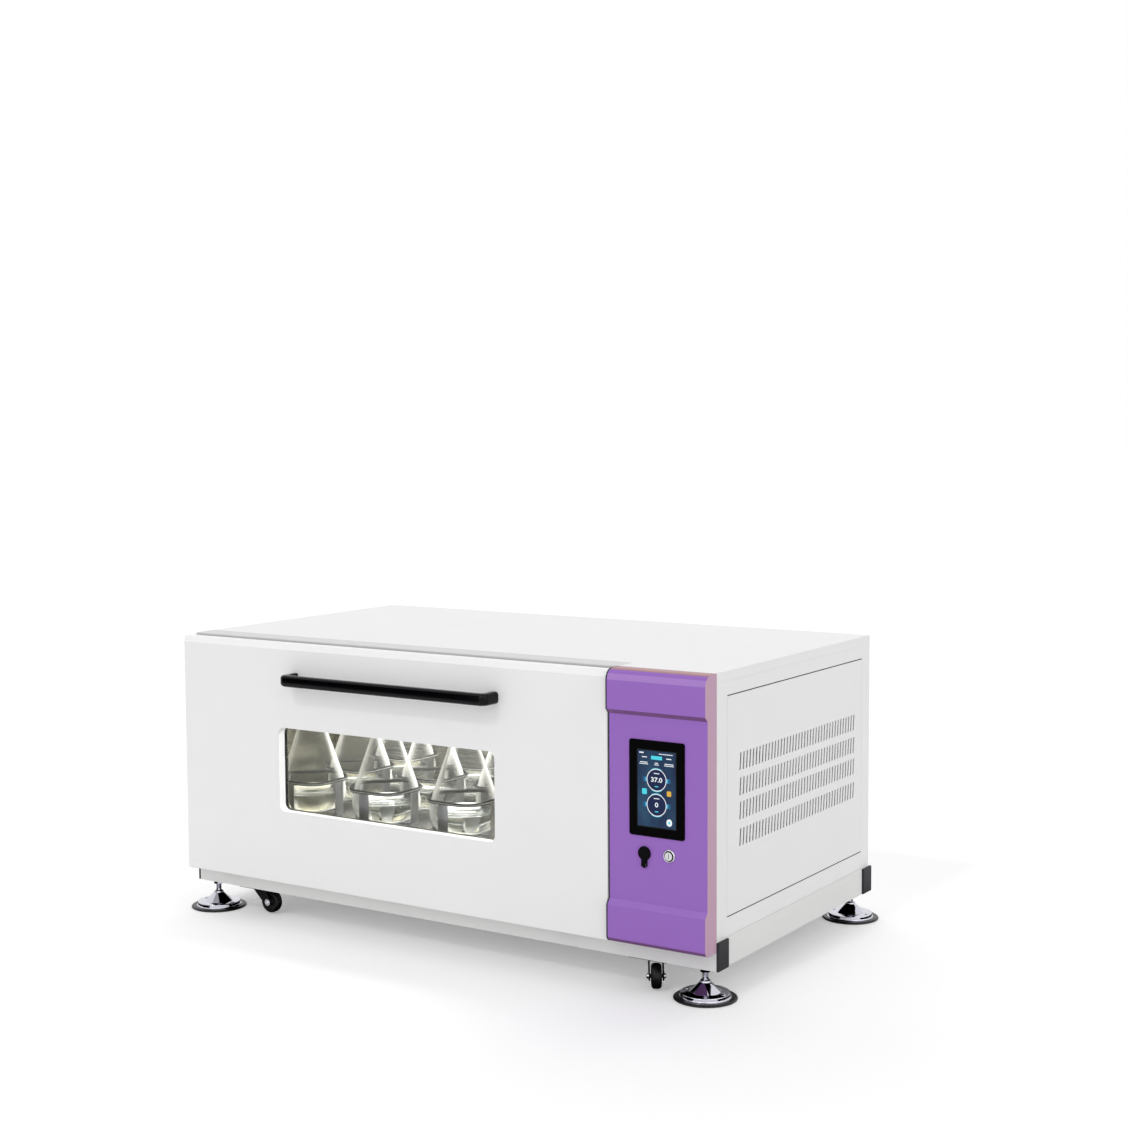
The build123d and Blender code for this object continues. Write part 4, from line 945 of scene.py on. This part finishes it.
# Castors: tyre with its hub, axle ends and plate bolts
def wheel_shape():
    """A tyre with round shoulders and a sunk hub on both sides."""
    half = WHEEL_WIDTH / 2
    side = [
        (0.0042, half - 0.0008),
        (0.0085, half - 0.0008),
        (0.0095, half - 0.003),
        (0.0165, half - 0.003),
        (0.018, half),
        (WHEEL_RADIUS - 0.004, half),
        (WHEEL_RADIUS - 0.0008, half - 0.003),
        (WHEEL_RADIUS, half - 0.0075),
    ]
    other = [(radius, -height) for radius, height in reversed(side)]
    return lathe(rounded(side + other, 0.0012, 3) + [side[0]], 56)


joint_axes = {row["name"]: row["axis"] for row in frame["record"]["behaviour"]["joints"]}
tyre = wheel_shape()
washer = lathe([(0, 0), (WASHER_RADIUS, 0), (WASHER_RADIUS, WASHER_THICK), (0, WASHER_THICK)], 24)
axle_head = screw_head(0.0052, 0.0020, 0.0034, 0.0036, corner=0.001, sides=24)
for place in PLACES:
    node = f"caster_wheel_{place}"
    low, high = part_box(node)
    centre = (low + high) / 2
    axle = joint_axes[f"wheel_{place}_spin"]
    shape = moved(tyre, centre, axle)
    wheel = piece(f"tyre_{place}", shape, looks["wheel_black"], f"wheel_{place}")
    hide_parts(node)
    ends = []
    for way in (-1, 1):
        out = Vector(axle) * way
        ends.append(moved(washer, centre + out * AXLE_REACH, out))
        ends.append(moved(axle_head, centre + out * (AXLE_REACH + WASHER_THICK), out))
    piece(f"axle_ends_{place}", merged(ends), zinc_look, f"fork_{place}")

plates_low, plates_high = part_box("caster_plates")
plate_bolt = screw_head(BOLT_RADIUS, 0.0016, 0.003, 0.003, seat=[(0, 0)])
bolts = []
for middle_x in (plates_low.x + PLATE_HALF[0], plates_high.x - PLATE_HALF[0]):
    for middle_y in (plates_low.y + PLATE_HALF[1], plates_high.y - PLATE_HALF[1]):
        for x in (middle_x - PLATE_BOLTS[0], middle_x + PLATE_BOLTS[0]):
            for y in (middle_y - PLATE_BOLTS[1], middle_y + PLATE_BOLTS[1]):
                bolts.append(moved(plate_bolt, (x, y, base_low - PLATE_THICK), (0, 0, -1)))
piece("plate_bolts", merged(bolts), zinc_look, "cabinet")


# Display: lit field, two dials with plain numbers, bars and icons
screen_low, screen_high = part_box("screen_glass")
screen_centre = (screen_low + screen_high) / 2
screen_front = screen_low.y


def on_screen(u, v, lift):
    """A point of the screen: u to the right and v up from its centre, lifted off the glass."""
    return (screen_centre.x + u, screen_front - lift, screen_centre.z + v)


def tile(u, v, width, height, lift=0.00012, corner=0.0):
    """A flat bar with rounded ends."""
    points = []
    for side_u, side_v, start in ((1, 1, 0), (-1, 1, 90), (-1, -1, 180), (1, -1, 270)):
        middle_u = u + side_u * (width / 2 - corner)
        middle_v = v + side_v * (height / 2 - corner)
        for step in range(5 if corner else 1):
            angle = math.radians(start + 22.5 * step)
            across, up = corner * math.cos(angle), corner * math.sin(angle)
            points.append(on_screen(middle_u + across, middle_v + up, lift))
    return points, [tuple(range(len(points)))]


def disc(u, v, radius, lift):
    """A tile so rounded that it is a disc."""
    return tile(u, v, 2 * radius, 2 * radius, lift, 0.999 * radius)


def arc_band(u, v, radius, width, start=0.0, sweep=360.0, lift=0.00012):
    """A flat band along an arc."""
    steps = max(6, int(sweep / 6))
    points, faces = [], []
    for step in range(steps + 1):
        angle = math.radians(start + sweep * step / steps)
        for reach in (radius - width / 2, radius + width / 2):
            points.append(on_screen(u + reach * math.cos(angle), v + reach * math.sin(angle), lift))
    for step in range(steps):
        faces.append((2 * step, 2 * step + 1, 2 * step + 3, 2 * step + 2))
    return points, faces


def bars(v, height, columns):
    """Bars in one line, from pairs of a middle and a width."""
    return [tile(u, v, width, height) for u, width in columns]


def wings(reach, width, height, lift):
    """A bar on both sides of each dial."""
    middles = [(side * (RING_RADIUS + reach), v) for v in RING_LIFTS for side in (-1, 1)]
    return [tile(u, v, width, height, lift) for u, v in middles]


def number(name, text, u, v):
    """Plain digits standing on the screen."""
    curve = bpy.data.curves.new(name, "FONT")
    curve.body = text
    curve.size = DIGIT_SIZE
    curve.align_x = "CENTER"
    curve.align_y = "CENTER"
    curve.offset = 0.0003
    source = bpy.data.objects.new(name + "_text", curve)
    scene.collection.objects.link(source)
    bpy.context.view_layer.update()
    mesh = bpy.data.meshes.new_from_object(source)
    bpy.data.objects.remove(source)
    upright = Matrix.Rotation(math.pi / 2, 4, "X")
    widened = Matrix.Diagonal((DIGIT_STRETCH, 1.0, 1.0, 1.0))
    mesh.transform(Matrix.Translation(on_screen(u, v, 0.00024)) @ upright @ widened)
    mesh.materials.clear()
    mesh.materials.append(white_light)
    digits = bpy.data.objects.new(name, mesh)
    scene.collection.objects.link(digits)
    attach(digits, "cabinet")


border_look = finish("display_border", srgb(30, 30, 28), 0.3, depth=0.0, Specular_IOR_Level=0.05)
white_light = glowing("display_white", srgb(240, 246, 250), 1.0)
cyan_light = glowing("display_cyan", srgb(84, 216, 232), 1.0)
dim_light = glowing("display_dim", srgb(44, 92, 130), 1.0)
wing_light = glowing("display_wing", srgb(74, 170, 208), 1.0)
amber_light = glowing("display_amber", srgb(226, 178, 70), 1.0)
dial_light = glowing("display_dial", srgb(36, 44, 78), 1.0)
field_light = glowing("display_field", srgb(36, 46, 76), 1.0, srgb(50, 78, 104))

glow_arcs = [(v, start) for v in RING_LIFTS for start in (60, 240)]
marks = {
    "border": (border_look, [tile(0, 0, FIELD_SIZE[0] + 0.0036, FIELD_SIZE[1] + 0.0036, 0.00004)]),
    "field": (field_light, [tile(0, 0, *FIELD_SIZE, 0.00008)]),
    "dials": (dial_light, [disc(0, v, RING_RADIUS, 0.00012) for v in RING_LIFTS]),
    "rings": (white_light, [arc_band(0, v, RING_RADIUS, 0.0015, lift=0.00018) for v in RING_LIFTS]),
    "glow": (
        cyan_light,
        [arc_band(0, v, RING_RADIUS + 0.0014, 0.001, start, 60, 0.00015) for v, start in glow_arcs]
        + [tile(0, 0.0600, 0.0240, 0.0070, corner=0.001)]
        + [tile(-0.0265, -0.0060, 0.0105, 0.0110, corner=0.002)],
    ),
    "wings": (dim_light, wings(0.0048, 0.0098, 0.0092, 0.00010)),
    "inner_wings": (wing_light, wings(0.0022, 0.0044, 0.0076, 0.00011)),
    "labels": (
        white_light,
        bars(0.0680, 0.0024, [(-0.0330, 0.0095)])
        + bars(0.0680, 0.0014, [(0.0200, 0.0300)])
        + bars(0.0600, 0.0018, [(-0.0265, 0.0110), (0.0265, 0.0110)])
        + bars(0.0500, 0.0016, [(-0.0280, 0.016), (0, 0.007), (0.0270, 0.019)])
        + bars(0.0468, 0.0014, [(-0.0280, 0.019), (0, 0.010), (0.0270, 0.021)])
        + [tile(0, v + 0.0125, 0.0120, 0.0016, 0.00018) for v in RING_LIFTS]
        + [tile(0.0275, -0.0612, 0.0120, 0.0140, 0.00018, 0.0059)],
    ),
    "units": (
        cyan_light,
        [tile(0, v - 0.0125, 0.0075, 0.0018, 0.00018) for v in RING_LIFTS]
        + [tile(0.0275, -0.0612, 0.0040, 0.0050, 0.00024, 0.001)],
    ),
    "alert": (amber_light, [tile(0.0270, -0.0060, 0.0095, 0.0100, corner=0.002)]),
}
for label, (look, parts) in marks.items():
    piece(f"display_{label}", merged(parts), look, "cabinet")
number("display_upper", "37.0", 0, RING_LIFTS[0])
number("display_lower", "0", 0, RING_LIFTS[1])


# Port cap: a soft disc on a strap, in one outline
def cap_shape():
    """A disc with a strap and a round end below it, as an outline with front and back."""
    meeting = math.degrees(math.asin(STRAP_HALF / CAP_RADIUS))
    outline = []
    for step in range(41):
        angle = math.radians(-90 + meeting + (360 - 2 * meeting) * step / 40)
        outline.append((CAP_RADIUS * math.cos(angle), CAP_RADIUS * math.sin(angle)))
    for step in range(13):
        angle = math.radians(180 + 15 * step)
        outline.append((STRAP_HALF * math.cos(angle), STRAP_HALF * math.sin(angle) - STRAP_DROP))
    return loft([[(u, y, v) for u, v in outline] for y in (0.0, CAP_THICK)])


cap_low, cap_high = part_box("port_cap")
cap = piece("port_disc", cap_shape(), looks["port_black"], "port_cover", sharp=60.0)
cap.location = ((cap_low.x + cap_high.x) / 2, cap_high.y - CAP_THICK, cap_high.z - CAP_RADIUS)
soft = cap.modifiers.new("soft", "BEVEL")
soft.width = CAP_BEVEL
soft.segments = 3
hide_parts("port_cap")

# Key switch: a polished ring with a black groove inside
ring_low, ring_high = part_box("lock_ring")
ring_centre = ((ring_low.x + ring_high.x) / 2, ring_high.y, (ring_low.z + ring_high.z) / 2)
ring_radius = (ring_high.z - ring_low.z) / 2
ring_proud = ring_high.y - ring_low.y
ring_profile = [
    (BEZEL_INSIDE, 0),
    (BEZEL_INSIDE, ring_proud - 0.0006),
    (0.0106, ring_proud),
    (0.0114, ring_proud),
    (ring_radius, ring_proud - 0.0012),
    (ring_radius, 0),
    (BEZEL_INSIDE, 0),
]
groove_profile = [
    (GROOVE_INSIDE, 0),
    (GROOVE_INSIDE, ring_proud - 0.0009),
    (BEZEL_INSIDE, ring_proud - 0.0007),
    (BEZEL_INSIDE, 0),
    (GROOVE_INSIDE, 0),
]
bezel = moved(lathe(ring_profile), ring_centre, (0, -1, 0))
groove = moved(lathe(groove_profile), ring_centre, (0, -1, 0))
ring = piece("lock_bezel", bezel, looks["lock_chrome"], "cabinet")
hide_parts("lock_ring")
piece("lock_groove", groove, groove_look, "cabinet")


# Dark seals over and under the service panel, and a dark strip of painted shade along the control
# panel's left end
vent_low, vent_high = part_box("vent_panel")
seams = []
for low_z in (vent_low.z - SEAM_WIDTH, vent_high.z):
    start = (vent_low.x, vent_low.y, low_z + SEAM_PLAY)
    end = (vent_high.x - SEAM_SUNK, vent_high.y, low_z + SEAM_WIDTH - SEAM_PLAY)
    seams.append(strip(start, end))
piece("service_seals", merged(seams), groove_look, "cabinet")

# A dark strip of painted shade: the panel's end profile grown to the left, where the gap beside the
# door lies in shadow
panel_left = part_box("control_panel")[0].x
end_work = bmesh.new()
end_work.from_mesh(nodes["control_panel"].data)
inner = [vertex for vertex in end_work.verts if vertex.co.x > panel_left + 1e-5]
bmesh.ops.delete(end_work, geom=inner, context="VERTS")
grown = bmesh.ops.extrude_face_region(end_work, geom=end_work.faces[:])
for part in grown["geom"]:
    if isinstance(part, bmesh.types.BMVert):
        part.co.x -= END_SHADE_WIDTH
end_shape = (
    [vertex.co.copy() for vertex in end_work.verts],
    [tuple(vertex.index for vertex in face.verts) for face in end_work.faces],
)
end_work.free()
piece("panel_end_painted_shade", end_shape, end_shade_look, "cabinet")


# Contact pins in the mains socket
inlet_low, inlet_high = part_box("power_inlet")
socket_x = (inlet_low.x + inlet_high.x) / 2 - SOCKET_SHIFT
socket_z = (inlet_low.z + inlet_high.z) / 2
pin = [(0, 0), (0.0014, 0), (0.0014, 0.0105), (0.0007, 0.0118), (0, 0.012)]
pin = lathe(rounded(pin, 0.0004, 2), 12)
pins = []
for side in (-1, 0, 1):
    drop = -PIN_DROP if side else PIN_DROP
    spot = (socket_x + side * PIN_PITCH, inlet_high.y - PIN_DEEP, socket_z + drop)
    pins.append(moved(pin, spot, (0, 1, 0)))
piece("inlet_pins", merged(pins), zinc_look, "cabinet")


# Pan-head screws of the rear panel
rear_low, rear_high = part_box("rear_panel")
rear_screw = screw_head(0.0045, 0.0012, 0.0025, 0.0024)
screws = []
for share in REAR_SCREW_SHARES:
    for height in (rear_low.z + REAR_SCREW_EDGES[0], rear_high.z - REAR_SCREW_EDGES[1]):
        x = rear_low.x + share * (rear_high.x - rear_low.x)
        screws.append(moved(rear_screw, (x, rear_high.y, height), (0, 1, 0)))
piece("rear_screws", merged(screws), zinc_look, "cabinet")


# Floor, sky and lamps
def floor():
    """A pale floor that keeps the object's shadow, and is white where it is seen far from it."""
    mesh = bpy.data.meshes.new("floor")
    reach = FLOOR_REACH
    corners = [(-reach, -reach, 0), (reach, -reach, 0), (reach, reach, 0), (-reach, reach, 0)]
    mesh.from_pydata(corners, [], [(0, 1, 2, 3)])
    material = bpy.data.materials.new("floor_pale")
    material.use_nodes = True
    tree = material.node_tree
    tree.nodes.clear()
    seen = seen_directly(tree)
    grey = new_node(tree, "ShaderNodeMapRange")
    grey.inputs["To Min"].default_value = FLOOR_BOUNCE
    grey.inputs["To Max"].default_value = FLOOR_SEEN
    tree.links.new(seen, grey.inputs["Value"])
    ground = new_node(tree, "ShaderNodeBsdfDiffuse")
    tree.links.new(grey.outputs["Result"], ground.inputs["Color"])
    lift = new_node(tree, "ShaderNodeEmission")
    lift.inputs["Color"].default_value = (1.0, 1.0, 1.0, 1.0)
    tree.links.new(maths(tree, "MULTIPLY", seen, FLOOR_LIFT), lift.inputs["Strength"])
    total = new_node(tree, "ShaderNodeAddShader")
    tree.links.new(ground.outputs["BSDF"], total.inputs[0])
    tree.links.new(lift.outputs["Emission"], total.inputs[1])
    out = new_node(tree, "ShaderNodeOutputMaterial")
    tree.links.new(total.outputs["Shader"], out.inputs["Surface"])
    mesh.materials.append(material)
    plane = bpy.data.objects.new("floor", mesh)
    scene.collection.objects.link(plane)


def seen_directly(tree):
    """1 for camera, glossy and transmission rays, and 0 for the rest."""
    path = new_node(tree, "ShaderNodeLightPath")
    total = path.outputs["Is Camera Ray"]
    for name in ("Is Glossy Ray", "Is Transmission Ray"):
        total = maths(tree, "MAXIMUM", total, path.outputs[name])
    return total


def sky():
    """White where it is seen, and a plain level of light elsewhere."""
    world = bpy.data.worlds.new("studio")
    scene.world = world
    world.use_nodes = True
    tree = world.node_tree
    background = tree.nodes["Background"]
    background.inputs["Color"].default_value = (1.0, 1.0, 1.0, 1.0)
    level = new_node(tree, "ShaderNodeMapRange")
    level.inputs["To Min"].default_value = SKY_LEVEL
    level.inputs["To Max"].default_value = 1.0
    tree.links.new(seen_directly(tree), level.inputs["Value"])
    tree.links.new(level.outputs["Result"], background.inputs["Strength"])


def sun(name, direction, strength, softness, mirrored=True):
    """A distant lamp that shines along a direction, and is seen in gloss or not."""
    lamp = bpy.data.lights.new(name, "SUN")
    lamp.energy = strength
    lamp.angle = math.radians(softness)
    holder = bpy.data.objects.new(name, lamp)
    holder.rotation_euler = Vector(direction).to_track_quat("-Z", "Y").to_euler()
    holder.visible_glossy = mirrored
    scene.collection.objects.link(holder)


def camera():
    """The photograph's own place, direction and lens."""
    data = bpy.data.cameras.new("camera")
    data.sensor_width = 36.0
    data.lens = CAMERA_LENS
    data.clip_end = 200.0
    holder = bpy.data.objects.new("camera", data)
    yaw = Matrix.Rotation(CAMERA_YAW, 4, "Z")
    pitch = Matrix.Rotation(math.pi / 2 - CAMERA_DROP, 4, "X")
    roll = Matrix.Rotation(CAMERA_ROLL, 4, "Z")
    holder.matrix_world = Matrix.Translation(CAMERA_PLACE) @ yaw @ pitch @ roll
    scene.collection.objects.link(holder)
    scene.camera = holder


floor()
sky()
sun("back_top", (0.40, -0.58, -0.71), 1.17, 75.0, mirrored=False)
sun("front_crisp", (0.05, 0.72, -0.75), 0.30, 3.0)
sun("front_soft", (0.25, 0.92, -0.20), 0.70, 80.0)
sun("right_soft", (-0.85, 0.30, -0.35), 0.95, 80.0)
chamber_low, chamber_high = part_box("chamber_liner")
chamber_middle = (chamber_low + chamber_high) / 2
inside = bpy.data.lights.new("chamber_lamp", "AREA")
inside.shape = "RECTANGLE"
inside.size, inside.size_y = CHAMBER_LAMP_SIZE
inside.energy = CHAMBER_LAMP_POWER
inside_holder = bpy.data.objects.new("chamber_lamp", inside)
inside_holder.location = (chamber_middle.x, chamber_middle.y, chamber_high.z - CHAMBER_LAMP_DROP)
scene.collection.objects.link(inside_holder)
camera()
scene.view_settings.view_transform = "Standard"
